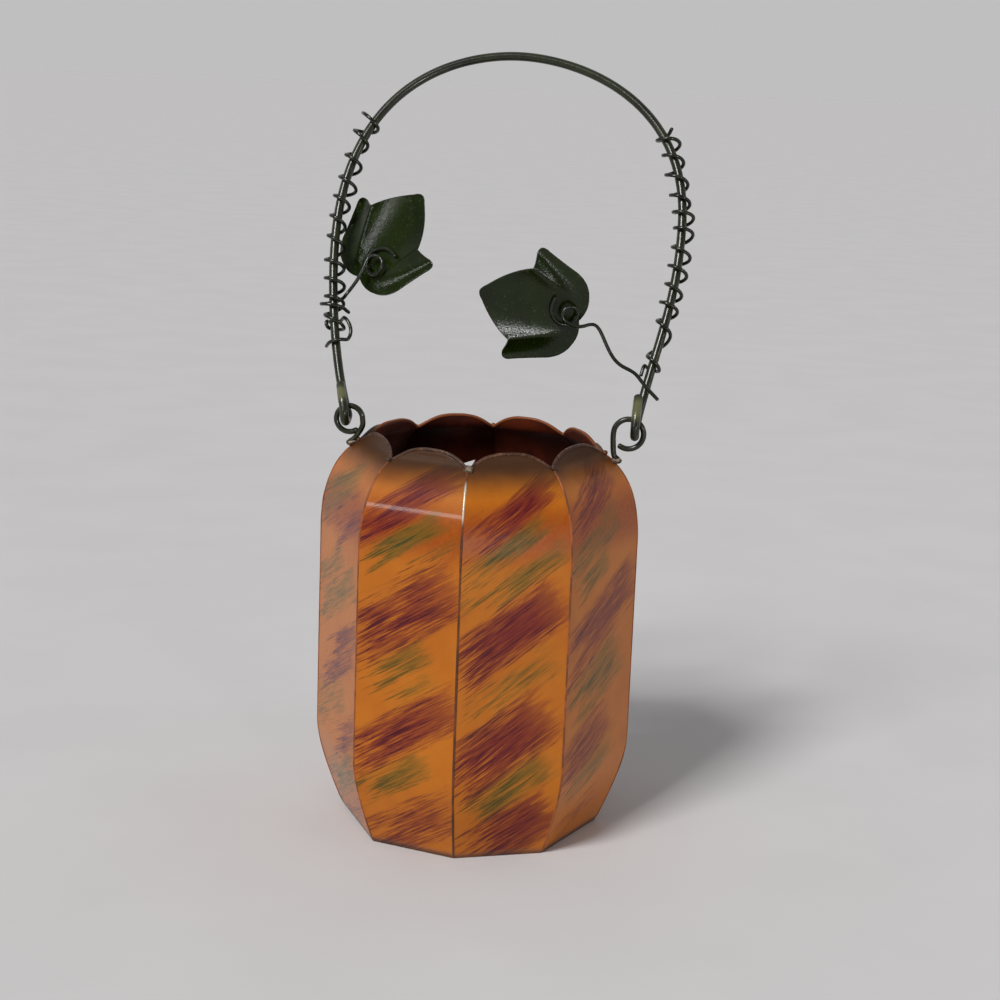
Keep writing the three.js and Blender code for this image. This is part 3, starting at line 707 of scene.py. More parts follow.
@dataclass(frozen=True)
class Enamel:
    """Dark green enamel brushed on a wire or a leaf.

    Args:
        base: The paint's colour.
        light: Where it lies thin or catches dust.
        deep: Where it has run together.
        cloud, deep_in: The grain of wide patches, and the deep colour by them.
        patch, light_in: The grain of small ones, and the light colour by them.
        peel, peel_parts: The fine orange peel, and the parts of it and the small patches in the bumps.
        depth: Their depth, in millimetres.
        roughness, dull: The paint's roughness, and what the small patches add to it.
        gloss, coat, coat_roughness: The specular level, and the clear coat's weight and roughness.
        dust, dust_and_glint_in: The grain of small light specks, partly dust and partly painted glints, and
            the specks by it.
        specks: How strongly they show.
        pale_spots: Places with paler paint, as points and radii in millimetres.
        spot_edge: Where such a place fades, as shares of its radius.
        spot_ragged: How far the small patches shift that.
        chip_and_glint_pale, pale_cover: The colour there and of the light specks, and its cover there.
    """

    base: Colour = srgb(36, 41, 20)
    light: Colour = srgb(66, 74, 42)
    deep: Colour = srgb(20, 23, 11)
    cloud: Grain = Grain(0.12, 3, 0.6)
    deep_in: Band = Band(0.3, 0.7)
    patch: Grain = Grain(0.7, 3, 0.6)
    light_in: Band = Band(0.58, 0.78, 0.55)
    peel: Grain = Grain(2.4, 2, 0.6)
    peel_parts: tuple[float, float] = (0.7, 0.3)
    depth: float = 0.05
    roughness: float = 0.24
    dull: float = 0.12
    gloss: float = 0.4
    coat: float = 0.3
    coat_roughness: float = 0.08
    dust: Grain = Grain(1.4, 3, 0.7)
    dust_and_glint_in: Band = Band(0.64, 0.72)
    specks: float = 0.1
    pale_spots: tuple[tuple[Point, float], ...] = ()
    spot_edge: tuple[float, float] = (0.6, 1.3)
    spot_ragged: float = 2.0
    chip_and_glint_pale: Colour = srgb(120, 120, 80)
    pale_cover: float = 0.55

    def build(self, name: str) -> bpy.types.Material:
        """Makes the enamel.

        Args:
            name: The material's name.

        Returns:
            The material.
        """
        paint = Paint(name)
        place = paint.place()
        cloud = paint.noise(place, self.cloud)
        patch = paint.noise(place, self.patch)
        peel = paint.noise(place, self.peel)
        colour = paint.blend(self.deep_in.over(cloud), self.base, self.deep)
        colour = paint.blend(self.light_in.over(patch), colour, self.light)
        for spot, radius in self.pale_spots:
            away = paint.vector("DISTANCE", place, spot, "Value")
            low, high = (radius * share for share in self.spot_edge)
            near = 1 - Band(low, high).over(away + patch * self.spot_ragged)
            colour = paint.blend(near * self.pale_cover, colour, self.chip_and_glint_pale)
        by_peel, by_patch = self.peel_parts
        # Light specks: partly dust, partly painted glints of the orange peel.
        dust_and_glint_speck = self.dust_and_glint_in.over(paint.noise(place, self.dust))
        colour = paint.blend(dust_and_glint_speck * self.specks, colour, self.chip_and_glint_pale)
        return paint.finish(
            Base_Color=colour, Roughness=self.roughness + patch * self.dull, Metallic=0.0,
            Specular_IOR_Level=self.gloss, Coat_Weight=self.coat, Coat_Roughness=self.coat_roughness,
            Normal=paint.bump(peel * by_peel + patch * by_patch, self.depth))


@dataclass(frozen=True)
class FloorFinish:
    """A plain pale sheet with the faintest mottle."""

    base: Colour = (0.65, 0.635, 0.635, 1)
    other: Colour = (0.67, 0.655, 0.655, 1)
    cloud: Grain = Grain(0.02, 3, 0.5)
    other_in: Band = Band(0.3, 0.7)

    def build(self, name: str) -> bpy.types.Material:
        """Makes the sheet's surface.

        Args:
            name: The material's name.

        Returns:
            The material.
        """
        paint = Paint(name)
        cloud = paint.noise(paint.place(), self.cloud)
        return paint.finish(
            Base_Color=paint.blend(self.other_in.over(cloud), self.base, self.other), Roughness=1.0,
            Specular_IOR_Level=0.0)


# Mesh helpers


def centripetal(points: np.ndarray, steps: int) -> np.ndarray:
    """Points on a smooth curve through given points.

    Args:
        points: The given points, in rows.
        steps: Steps between two of them.

    Returns:
        The curve's points.
    """
    p = np.asarray(points, float)
    p = np.vstack([2 * p[0] - p[1], p, 2 * p[-1] - p[-2]])
    out = []
    for a, b, c, d in zip(p[:-3], p[1:-2], p[2:-1], p[3:]):
        ta, tb, tc, td = np.cumsum([0.0] + [max(np.linalg.norm(step), LEAST) ** 0.5
                                            for step in (b - a, c - b, d - c)])
        for t in np.linspace(tb, tc, steps, endpoint=False):
            ab = (tb - t) / (tb - ta) * a + (t - ta) / (tb - ta) * b
            bc = (tc - t) / (tc - tb) * b + (t - tb) / (tc - tb) * c
            cd = (td - t) / (td - tc) * c + (t - tc) / (td - tc) * d
            abc = (tc - t) / (tc - ta) * ab + (t - ta) / (tc - ta) * bc
            bcd = (td - t) / (td - tb) * bc + (t - tb) / (td - tb) * cd
            out.append((tc - t) / (tc - tb) * abc + (t - tb) / (tc - tb) * bcd)
    out.append(p[-2])
    return np.array(out)


def softened(path: np.ndarray, width: float) -> np.ndarray:
    """Rounds a path's sharp turns and keeps its ends.

    Args:
        path: The points, in rows.
        width: How many points a turn is spread over.

    Returns:
        The softened points.
    """
    reach = int(3 * width)
    kernel = np.exp(-0.5 * (np.arange(-reach, reach + 1) / width) ** 2)
    kernel /= kernel.sum()
    before = 2 * path[0] - path[reach:0:-1]
    after = 2 * path[-1] - path[-2:-reach - 2:-1]
    padded = np.vstack([before, path, after])
    return np.column_stack([np.convolve(padded[:, k], kernel, "valid") for k in range(3)])


def uneven(count: int, seed: int, size: float, smooth: int) -> np.ndarray:
    """A smooth random row around 1.

    Args:
        count: How many values.
        seed: The random seed.
        size: How far the values stray.
        smooth: Over how many values they are smoothed.

    Returns:
        The values.
    """
    raw = np.random.default_rng(seed).normal(0, 1, count + 2 * smooth)
    kernel = np.hanning(2 * smooth + 1)
    soft = np.convolve(raw, kernel / kernel.sum(), "same")[smooth:smooth + count]
    return 1 + size * soft / max(float(np.abs(soft).max()), 1e-9)


def in_scene(name: str, data: bpy.types.ID) -> bpy.types.Object:
    """Adds an object to the scene.

    Args:
        name: Its name.
        data: Its mesh, lamp or camera.

    Returns:
        The object.
    """
    thing = bpy.data.objects.new(name, data)
    bpy.context.scene.collection.objects.link(thing)
    return thing


@dataclass
class Sheaf:
    """Vertices and faces in millimetres, gathered for one mesh.

    Args:
        points, faces: The parts' vertices and faces.
        tags: Each face's material, by its place.
        count: How many vertices there are.
        dome: A tube's domed end: rings ahead of its end, and their size, as shares of its radius.
        waves, wave_pitch: How many waves make a drop lumpy, and how tight they are.
        wave_size: Their height, as a share of the drop's size.
    """

    points: list[np.ndarray] = field(default_factory=list)
    faces: list[tuple[int, ...]] = field(default_factory=list)
    tags: list[int] = field(default_factory=list)
    count: int = 0
    dome: tuple[tuple[float, float], ...] = ((0.35, 0.92), (0.62, 0.66), (0.74, 0.3))
    waves: int = 4
    wave_size: float = 0.07
    wave_pitch: float = 1.8

    def add(self, points: np.ndarray, faces: Sequence[tuple[int, ...]], tag: int = 0) -> None:
        """Adds a part.

        Args:
            points: Its points, in rows.
            faces: Its faces, as indices into them.
            tag: Its material's place.
        """
        self.points.append(np.asarray(points, float))
        self.faces.extend(tuple(i + self.count for i in face) for face in faces)
        self.tags.extend([tag] * len(faces))
        self.count += len(points)

    def tube(self, path: np.ndarray, radius: float | np.ndarray, sides: int = 14,
             closed: bool = False, tag: int = 0) -> None:
        """Adds a round tube with domed ends.

        Args:
            path: The points of its middle line.
            radius: Its radius, or one for each point.
            sides: The sides of its section.
            closed: Whether it closes on itself.
            tag: Its material's place.
        """
        path = np.asarray(path, float)
        radii = np.full(len(path), radius) if np.isscalar(radius) else np.asarray(radius, float)
        if not closed:
            ends = []
            for end, near, r in ((path[0], path[1], radii[0]), (path[-1], path[-2], radii[-1])):
                out = (end - near) / np.linalg.norm(end - near)
                ends.append([(end + out * r * ahead, r * share) for ahead, share in self.dome])
            path = np.vstack([[p for p, _ in reversed(ends[0])], path, [p for p, _ in ends[1]]])
            radii = np.concatenate([[r for _, r in reversed(ends[0])], radii, [r for _, r in ends[1]]])
        count = len(path)
        if closed:
            tangents = np.roll(path, -1, 0) - np.roll(path, 1, 0)
        else:
            tangents = np.gradient(path, axis=0)
        tangents /= np.linalg.norm(tangents, axis=1)[:, None]
        normal = np.cross(tangents[0], (0.0, 0.0, 1.0))
        if np.linalg.norm(normal) < 0.2:
            normal = np.cross(tangents[0], (0.0, 1.0, 0.0))
        rows = []
        angles = 2 * math.pi * np.arange(sides) / sides
        for i in range(count):
            normal = normal - tangents[i] * (normal @ tangents[i])
            normal /= np.linalg.norm(normal)
            other = np.cross(tangents[i], normal)
            ring = np.cos(angles)[:, None] * normal + np.sin(angles)[:, None] * other
            rows.append(path[i] + radii[i] * ring)
        faces = []
        last = count if closed else count - 1
        for i in range(last):
            j = (i + 1) % count
            for k in range(sides):
                m = (k + 1) % sides
                faces.append((i * sides + k, i * sides + m, j * sides + m, j * sides + k))
        if not closed:
            faces.append(tuple(reversed(range(sides))))
            faces.append(tuple((count - 1) * sides + k for k in range(sides)))
        self.add(np.vstack(rows), faces, tag)

    def blob(self, middle: Sequence[float], sizes: Sequence[float], seed: int, tag: int = 0) -> None:
        """Adds a lumpy rounded drop.

        Args:
            middle: Its middle.
            sizes: Its half sizes along x, y and z.
            seed: The random seed of its lumps.
            tag: Its material's place.
        """
        rng = np.random.default_rng(seed)
        waves = [(rng.normal(0, 1, 3) * self.wave_pitch, rng.uniform(0, 6)) for _ in range(self.waves)]
        around, down = 20, 12
        points = []
        for i in range(1, down):
            polar = math.pi * i / down
            for k in range(around):
                turn = 2 * math.pi * k / around
                points.append((math.sin(polar) * math.cos(turn), math.sin(polar) * math.sin(turn),
                               math.cos(polar)))
        cloud = np.array(points + [(0, 0, 1.0), (0, 0, -1.0)])
        swell = np.ones(len(cloud))
        for wave, phase in waves:
            swell += self.wave_size * np.sin(cloud @ wave + phase)
        faces: list[tuple[int, ...]] = []
        top, bottom = len(cloud) - 2, len(cloud) - 1
        for k in range(around):
            m = (k + 1) % around
            faces.append((top, k, m))
            for i in range(down - 2):
                faces.append((i * around + k, (i + 1) * around + k, (i + 1) * around + m, i * around + m))
            low = (down - 2) * around
            faces.append((low + k, bottom, low + m))
        self.add(np.array(middle) + cloud * swell[:, None] * np.array(sizes), faces, tag)

    def piece(self, name: str, materials: Sequence[bpy.types.Material],
              smooth: bool = True) -> bpy.types.Object:
        """Makes the object.

        Args:
            name: Its name.
            materials: Its materials, by tag.
            smooth: Whether it is shaded smooth.

        Returns:
            The object, in metres.
        """
        mesh = bpy.data.meshes.new(name)
        mesh.from_pydata((np.vstack(self.points) * MM).tolist(), [], self.faces)
        for material in materials:
            mesh.materials.append(material)
        mesh.polygons.foreach_set("material_index", self.tags)
        mesh.polygons.foreach_set("use_smooth", [smooth] * len(self.faces))
        mesh.update()
        return in_scene(name, mesh)


def settle(thing: bpy.types.Object) -> None:
    """Applies a piece's modifiers to its mesh.

    Args:
        thing: The piece.
    """
    bpy.context.view_layer.update()
    evaluated = thing.evaluated_get(bpy.context.evaluated_depsgraph_get())
    mesh = bpy.data.meshes.new_from_object(evaluated)
    old = thing.data
    thing.modifiers.clear()
    thing.data = mesh
    mesh.name = thing.name
    bpy.data.meshes.remove(old)


def mount(thing: bpy.types.Object, body: str, nodes: Sequence[str] = ()) -> None:
    """Makes a piece ride on a body and stand for its nodes.

    Args:
        thing: The piece.
        body: The body that it rides on.
        nodes: The nodes that it stands for.
    """
    if nodes:
        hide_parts(*nodes)
    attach(thing, body)
    log.info("%s rides on %s", thing.name, body)


def facing_frame(angle: float) -> tuple[np.ndarray, np.ndarray]:
    """The outward and the sideways direction of a panel that faces an angle, in degrees."""
    sine, cosine = math.sin(math.radians(angle)), math.cos(math.radians(angle))
    return np.array([sine, -cosine, 0]), np.array([cosine, sine, 0])


def lengths(line: np.ndarray) -> np.ndarray:
    """The length along a line up to each of its points."""
    return np.concatenate([[0], np.cumsum(np.linalg.norm(np.diff(line, axis=0), axis=1))])


def bezier(points: Sequence[Sequence[float]], t: np.ndarray) -> np.ndarray:
    """Points on a Bezier curve of any degree.

    Args:
        points: Its control points.
        t: Where on it, from 0 to 1.

    Returns:
        The points, in rows.
    """
    degree = len(points) - 1
    rows = [math.comb(degree, i) * ((1 - t) ** (degree - i) * t ** i)[:, None] * np.array(p)
            for i, p in enumerate(points)]
    return np.sum(rows, axis=0)


# The body


@dataclass
class PumpkinBody:
    """The body's sizes in millimetres, and the shapes of its panels, rim and seams."""

    seam_radius: float = 42.5
    seam_angle: float = 39.5
    base_radius: float = 34.9
    wall_bottom: float = 24.5
    wall_top: float = 78.6
    foot_flare: float = 17.0
    notch_radius: float = 32.6
    notch_height: float = 102.0
    shoulder_drop: float = 6.4
    petal_rise: float = 3.5
    petal_lean: float = 1.4
    petal_fullness: float = 2.6
    petal_bend: tuple[float, float] = (0.8, 0.25)
    sheet: float = 0.6
    seam_gap: float = 0.3
    rows: tuple[int, int, int] = (14, 10, 34)
    columns: int = 28
    rim_steps: int = 28
    curve_steps: tuple[int, int] = (200, 60)
    seam_foot: float = 0.45
    cup_radius: float = 19.4
    cup_depth: float = 11.0
    cup_lip: float = 1.4
    cup_seat: float = 0.9

    def seams(self) -> list[float]:
        """The seams' angles from the back, in degrees."""
        quarter = [0.0, self.seam_angle, 90.0, 180.0 - self.seam_angle]
        return quarter + [a + 180.0 for a in quarter] + [360.0]

    def shoulder(self, steps: int) -> np.ndarray:
        """The shoulder's curve on a seam, from the wall to the notch.

        Args:
            steps: How many points it has.

        Returns:
            Radius and height of each point.
        """
        return bezier([(self.seam_radius, self.wall_top),
                       (self.seam_radius, self.notch_height - self.shoulder_drop),
                       (self.notch_radius, self.notch_height)], np.linspace(0, 1, steps))

    def profile(self, across: float) -> tuple[np.ndarray, np.ndarray]:
        """The seam line's points and directions up to the petal's edge.

        Args:
            across: The place across the panel, from -1 to 1.

        Returns:
            Radius and height of each point, and the unit direction there.
        """
        foot, wall, crown = self.rows
        low = bezier([(self.base_radius, 0), (self.seam_radius, self.foot_flare),
                      (self.seam_radius, self.wall_bottom)], np.linspace(0, 1, foot + 1))
        straight = np.array([(self.seam_radius, z) for z in
                             np.linspace(self.wall_bottom, self.wall_top, wall + 1)[1:-1]])
        shoulder = self.shoulder(self.curve_steps[0])
        neck = bezier([(self.notch_radius, self.notch_height),
                       (self.notch_radius - self.petal_lean * self.petal_bend[0],
                        self.notch_height + self.petal_rise * self.petal_bend[1]),
                       (self.notch_radius - self.petal_lean, self.notch_height + self.petal_rise)],
                      np.linspace(0, 1, self.curve_steps[1]))
        both = np.vstack([shoulder, neck[1:]])
        run = lengths(both)
        shoulder_run = run[len(shoulder) - 1]
        petal = 1 - abs(across) ** self.petal_fullness
        reach = shoulder_run + (run[-1] - shoulder_run) * petal
        at = np.linspace(0, reach, crown + 1)
        high = np.column_stack([np.interp(at, run, both[:, k]) for k in (0, 1)])
        line = np.vstack([low, straight, high])
        ahead = np.gradient(line, axis=0)
        return line, ahead / np.linalg.norm(ahead, axis=1)[:, None]

    def panel(self, start: float, end: float) -> Sheaf:
        """One panel as a closed sheet.

        Args:
            start: Its first seam's angle, in degrees.
            end: Its other seam's angle.

        Returns:
            The sheet's mesh, with tags 0 outside, 1 inside and 2 on its edges.
        """
        half = math.radians(end - start) / 2
        out, side = facing_frame((start + end) / 2)
        shares = np.sin(np.linspace(-math.pi / 2, math.pi / 2, self.columns + 1))
        skins = ([], [])
        for across in shares:
            line, ahead = self.profile(float(across))
            square = np.column_stack([-ahead[:, 1], ahead[:, 0]])
            for skin, depth in zip(skins, (0.0, self.sheet / math.cos(half))):
                moved = line + square * depth
                reach = moved[:, 0] * math.sin(half) - self.seam_gap / 2 / math.cos(half)
                skin.append(moved[:, :1] * math.cos(half) * out + (reach * across)[:, None] * side
                            + moved[:, 1:] * np.array([0, 0, 1.0]))
        grids = [np.array(skin).transpose(1, 0, 2) for skin in skins]
        rows, columns = grids[0].shape[:2]
        size = rows * columns
        outer, inner, edge = [], [], []
        for i in range(rows - 1):
            for j in range(columns - 1):
                a, b = i * columns + j, (i + 1) * columns + j
                outer.append((a, a + 1, b + 1, b))
                inner.append((size + a, size + b, size + b + 1, size + a + 1))
            a, b = i * columns, (i + 1) * columns
            edge.append((a, b, size + b, size + a))
            a, b = a + columns - 1, b + columns - 1
            edge.append((a, size + a, size + b, b))
        top = (rows - 1) * columns
        for j in range(columns - 1):
            edge.append((j, size + j, size + j + 1, j + 1))
            edge.append((top + j, top + j + 1, size + top + j + 1, size + top + j))
        sheaf = Sheaf()
        sheaf.add(np.vstack([grid.reshape(-1, 3) for grid in grids]), outer + inner + edge)
        sheaf.tags = [0] * len(outer) + [1] * len(inner) + [2] * len(edge)
        return sheaf

    def rim_line(self) -> np.ndarray:
        """The middle line of the petals' edge, right round.

        Returns:
            The points, in rows.
        """
        line = []
        seams = self.seams()
        for start, end in zip(seams[:-1], seams[1:]):
            half = math.radians(end - start) / 2
            out, side = facing_frame((start + end) / 2)
            for share in np.linspace(-1, 1, self.rim_steps + 1)[:-1]:
                profile, ahead = self.profile(float(share))
                square = np.array([-ahead[-1, 1], ahead[-1, 0]])
                r, z = profile[-1] + square * self.sheet / 2
                line.append(r * math.cos(half) * out + r * math.sin(half) * share * side
                            + np.array([0, 0, z]))
        return np.array(line)

    def seam_line(self, angle: float, out: float) -> np.ndarray:
        """A line along a seam, moved outwards.

        Args:
            angle: The seam's angle, in degrees.
            out: How far it is moved.

        Returns:
            The points, in rows.
        """
        line, ahead = self.profile(1.0)
        moved = line + np.column_stack([ahead[:, 1], -ahead[:, 0]]) * out
        path = moved[:, :1] * facing_frame(angle)[0]
        path[:, 2] = np.maximum(moved[:, 1], self.seam_foot)
        return path


@dataclass(frozen=True)
class Face:
    """The cut-outs of the lantern's face, as outlines from the front seam, in millimetres."""

    wall_bottom: float = 24.5
    wall_top: float = 78.6
    eye_tip: tuple[float, float] = (6.2, 12.4)
    eye_size: tuple[float, float] = (15.0, 8.4)
    eye_tilt: float = 42.0
    nose: tuple[float, float, float] = (9.0, 8.0, 1.6)
    mouth_corner: tuple[float, float] = (19.0, 35.0)
    mouth_depth: float = 20.0
    mouth_open: float = 9.0
    tooth: tuple[float, float] = (4.2, 3.8)
    teeth_at: tuple[float, float] = (0.17, 0.64)
    lip_end: float = 0.94
    lip_curves: tuple[float, float] = (2.0, 2.2)
    lip_steps: tuple[int, int] = (8, 6)
    past_seam: float = 0.6
    eye_marks: tuple[tuple[float, float], ...] = (
        (0, 0), (0.5, 0.42), (0.75, 0.5), (1, 0.5), (1, 0), (1, -0.5), (0.75, -0.5), (0.5, -0.42), (0, 0))
    eye_steps: int = 8
    cut_reach: tuple[float, float] = (0.5, 1.2)

    def eye(self) -> list[tuple[float, float]]:
        """The eye's outline.

        Returns:
            Its points, out from the front seam and up.
        """
        turn = -math.radians(self.eye_tilt)
        tip = np.array([self.eye_tip[0], self.wall_top + self.eye_tip[1]])
        placed = []
        for a, c in self.eye_marks:
            x, y = a * self.eye_size[0], c * self.eye_size[1]
            placed.append(tip + np.array([x * math.cos(turn) - y * math.sin(turn),
                                          x * math.sin(turn) + y * math.cos(turn)]))
        outline: list[tuple[float, float]] = []
        for i in range(0, len(placed) - 2, 2):
            arc = bezier(placed[i:i + 3], np.linspace(0, 1, self.eye_steps + 1))[:-1]
            outline.extend((float(x), float(y)) for x, y in arc)
        return outline

    def nose_half(self) -> list[tuple[float, float]]:
        """Half of the nose's outline.

        Returns:
            Its points, out from the front seam and up.
        """
        height, width, drop = self.nose
        top = self.wall_top - drop
        return [(-self.past_seam, top), (0, top), (width / 2, top - height),
                (-self.past_seam, top - height)]

    def mouth_half(self) -> list[tuple[float, float]]:
        """Half of the mouth's outline, with a tooth from each lip.

        Returns:
            Its points, out from the front seam and up.
        """
        end, rise = self.mouth_corner
        bottom = self.wall_bottom + rise - self.mouth_depth
        width, length = self.tooth

        def lower(x: float) -> tuple[float, float]:
            """A point of the lower lip."""
            return x, bottom + self.mouth_depth * (x / end) ** self.lip_curves[1]

        def upper(x: float, drop: float = 0.0) -> tuple[float, float]:
            """A point of the upper lip."""
            rise_here = (self.mouth_depth - self.mouth_open) * (x / end) ** self.lip_curves[0]
            return x, bottom + self.mouth_open + rise_here - drop

        high, low = (end * share for share in self.teeth_at)
        points = [(-self.past_seam, bottom), (-self.past_seam, bottom + self.mouth_open)]
        points += [upper(0), upper(high), upper(high, length), upper(high + width, length)]
        points += [upper(x) for x in np.linspace(high + width, end, self.lip_steps[0])]
        points += [lower(x) for x in np.linspace(end * self.lip_end, low, self.lip_steps[1])]
        x, y = lower(low)
        points += [(x, y + length)]
        x, y = lower(low - width)
        points += [(x, y + length), lower(low - width), lower(0)]
        return [(float(x), float(y)) for x, y in points]

    def cutter(self, outline: list[tuple[float, float]], facing: float, mirror: int,
               seam_out: float, depth: float) -> bpy.types.Object:
        """A solid that cuts one outline through a panel.

        Args:
            outline: The outline, from the front seam and up.
            facing: The panel's angle, in degrees.
            mirror: 1 where the front seam is on the panel's low side, else -1.
            seam_out: From the panel's middle to its seam.
            depth: How far out the solid reaches.

        Returns:
            The cutting object.
        """
        out, side = facing_frame(facing)
        rings = []
        for reach in (depth * share for share in self.cut_reach):
            rings.append([out * reach + side * mirror * (x - seam_out) + np.array([0, 0, z])
                          for x, z in outline])
        count = len(outline)
        faces = [tuple(range(count)), tuple(reversed(range(count, 2 * count)))]
        faces += [(i, i + count, (i + 1) % count + count, (i + 1) % count) for i in range(count)]
        sheaf = Sheaf()
        sheaf.add(np.vstack(rings), faces)
        thing = sheaf.piece("cutter", [])
        mesh = bmesh.new()
        mesh.from_mesh(thing.data)
        bmesh.ops.recalc_face_normals(mesh, faces=mesh.faces)
        mesh.to_mesh(thing.data)
        mesh.free()
        return thing


@dataclass
class PumpkinPieces:
    """Builds and dresses the lantern's body.

    Sizes are in millimetres. The main seams are those at the back, the front and the rings. A waver is how
    uneven a bead is, as a share of its radius. Beads, tails and drops stand out of the body or up from it
    as far as their fields say. A ring tail has its seam's angle, its way along the rim, its length in rim
    steps and its radius. Its taper holds where a sine wave starts and ends, and its power. The plate's edge
    has heights, and how far it draws in there. Edges sharper than the given angles keep a crease.
    """

    body: PumpkinBody = field(default_factory=PumpkinBody)
    face: Face = Face()
    finish: PanelFinish = PanelFinish()
    lining: DarkPaint = DarkPaint()
    edge: BeadFinish = BeadFinish()
    rim_finish: BeadFinish = BeadFinish(wear=0.5)
    main_seams: BeadFinish = BeadFinish(dark=srgb(78, 46, 26), patches=0.35, glint=True)
    side_seams: BeadFinish = BeadFinish(dark=srgb(112, 62, 28), patches=1.0, wear=0.25)
    tail_finish: Enamel = Enamel(base=srgb(70, 62, 36), light=srgb(128, 112, 78), deep=srgb(40, 34, 20))
    solder: Solder = Solder()
    names: tuple[str, ...] = (
        "back_right_panel", "right_back_panel", "right_front_panel", "front_right_panel",
        "front_left_panel", "left_front_panel", "left_back_panel", "back_left_panel")
    panel_seed: float = 1.3
    panel_seed_step: float = 3.7
    rim_bead: float = 0.46
    rim_waver: float = 0.14
    rim_seed: int = 5
    seam_bead: float = 0.33
    seam_waver: float = 0.2
    seam_seed: int = 20
    bead_sides: int = 10
    bead_out: float = -0.12
    side_bead_in: float = 0.08
    ring_tails: tuple[tuple[float, int, int, float], ...] = ((270.0, -1, 9, 0.72), (90.0, 1, 5, 0.62))
    tail_out: float = 0.55
    tail_taper: tuple[float, float, float] = (0.5, 2.9, 0.6)
    tail_sides: int = 12
    main_drop: float = 1.25
    side_drop: float = 0.75
    drop_height: float = 0.9
    drop_seed: int = 40
    drop_out: float = 0.15
    drop_up: float = 0.1
    plate_gap: float = 0.3
    plate_edge: tuple[tuple[float, float], ...] = ((0.0, 0.15), (0.12, 0.0), (0.48, 0.0), (0.6, 0.15))
    cup_steps: int = 72
    face_crease: float = 40.0
    cup_crease: float = 50.0

    def strokes(self) -> dict[str, tuple[float, tuple[Stroke, ...]]]:
        """The slant and the strokes of each panel.

        Returns:
            Both, by the panel's node.
        """
        m, o = Tint.MAROON, Tint.OLIVE
        back_left = self.row(
            (m, 0, 95, 10, 3.0, 0.85), (m, -7, 88.5, 10, 2.5, 0.8), (o, -1, 84.4, 10, 2.3, 0.8),
            (o, 9, 82.5, 7, 1.3, 0.2), (m, -1, 65, 17, 5.6, 0.7), (m, -3, 73, 14, 1.6, 0.1),
            (o, -1.5, 52.3, 8.6, 2.8, 0.55), (o, 3, 46, 7, 2, 0.3), (m, 0, 34.5, 17, 4.3, 0.75),
            (o, -2, 22, 10, 3, 0.6), (m, 1, 7.5, 16, 4.8, 0.5))
        back_right = self.row(
            (m, 1, 92.8, 10, 2.7, 0.85), (m, -8, 88, 6, 3, 0.2), (o, -2, 83.4, 11, 2.3, 0.7),
            (o, 4, 77.4, 11, 2.2, 0.6), (o, -7, 73.6, 8, 2, 0.15), (m, -1, 61.8, 14.5, 4.9, 0.95),
            (m, 8, 70, 6, 2, 0.3), (o, 2, 49.3, 11, 3.2, 0.35), (m, -2, 32.6, 14, 5.7, 0.85),
            (o, 1, 21.4, 11, 3.8, 0.7), (m, 3.5, 8.5, 10.5, 5.6, 0.85))
        left_back = self.row(
            (o, -5, 91, 13, 4.2, 0.6), (m, 11, 84.6, 11, 2.2, 0.7), (m, 2, 87.5, 12, 2.2, 0.2),
            (o, -8, 69.5, 14, 2.6, 0.45), (o, 0, 63.5, 17, 3.4, 0.5), (m, 8, 53, 13, 2.8, 0.65),
            (m, 2, 44.6, 15, 2.5, 0.6), (o, -6, 34, 15, 4.6, 0.35), (m, 11, 28, 10, 3.6, 0.55),
            (o, 3, 15, 17, 3.8, 0.65), (m, 6, 5.5, 14, 2.6, 0.3))
        right_back = self.row(
            (m, -2, 94.4, 11.5, 3.4, 0.6), (o, -5, 82.6, 14, 3.6, 0.5), (o, -4, 75, 6.5, 2.6, 0.6),
            (m, 1, 62.5, 18, 4.8, 0.65), (m, -4, 55, 14, 2.4, 0.5), (o, -1, 46, 12.5, 5.2, 0.6),
            (m, -6, 29, 13.5, 4.6, 0.5), (o, -2, 22, 11.5, 3.4, 0.45), (m, -3, 7.5, 11, 3.2, 0.15))
        return {
            "back_left_panel": (32, back_left), "back_right_panel": (36, back_right),
            "left_back_panel": (24, left_back), "right_back_panel": (25, right_back),
            "right_front_panel": (27, self.shifted(left_back, 2.0, -4.0)),
            "left_front_panel": (26, self.shifted(right_back, -1.5, 3.5)),
            "front_right_panel": (33, self.shifted(back_left, 1.0, 2.5)),
            "front_left_panel": (34, self.shifted(back_right, -1.0, -2.0))}

    @staticmethod
    def row(*strokes: tuple[Tint, float, float, float, float, float]) -> tuple[Stroke, ...]:
        """A panel's strokes from their values, in the order of a stroke's fields."""
        return tuple(Stroke(*values) for values in strokes)

    @staticmethod
    def shifted(strokes: Sequence[Stroke], across: float, height: float) -> tuple[Stroke, ...]:
        """The same row of strokes as a hand would set it on the next panel."""
        return tuple(Stroke(s.tint, s.across + across, s.height + height, s.reach, s.spread, s.load)
                     for s in strokes)

    def build(self) -> None:
        """Builds the body's pieces."""
        seams = self.body.seams()
        lining = self.lining.build("lining_paint")
        edge = self.edge.build("edge_paint")
        strokes = self.strokes()
        for i, name in enumerate(self.names):
            start, end = seams[i], seams[i + 1]
            facing = (start + end) / 2
            slant, row = strokes[name]
            seed = self.panel_seed_step * i + self.panel_seed
            skin = self.finish.build(f"{name}_lacquer", facing, slant, row, seed)
            thing = self.body.panel(start, end).piece(name + "_skin", [skin, lining, edge])
            if name.startswith("front"):
                self.cut_face(thing, start, end, 1 if name == "front_left_panel" else -1)
            mount(thing, "lantern", [name])
        self.build_beads(seams)
        self.build_tin(lining)

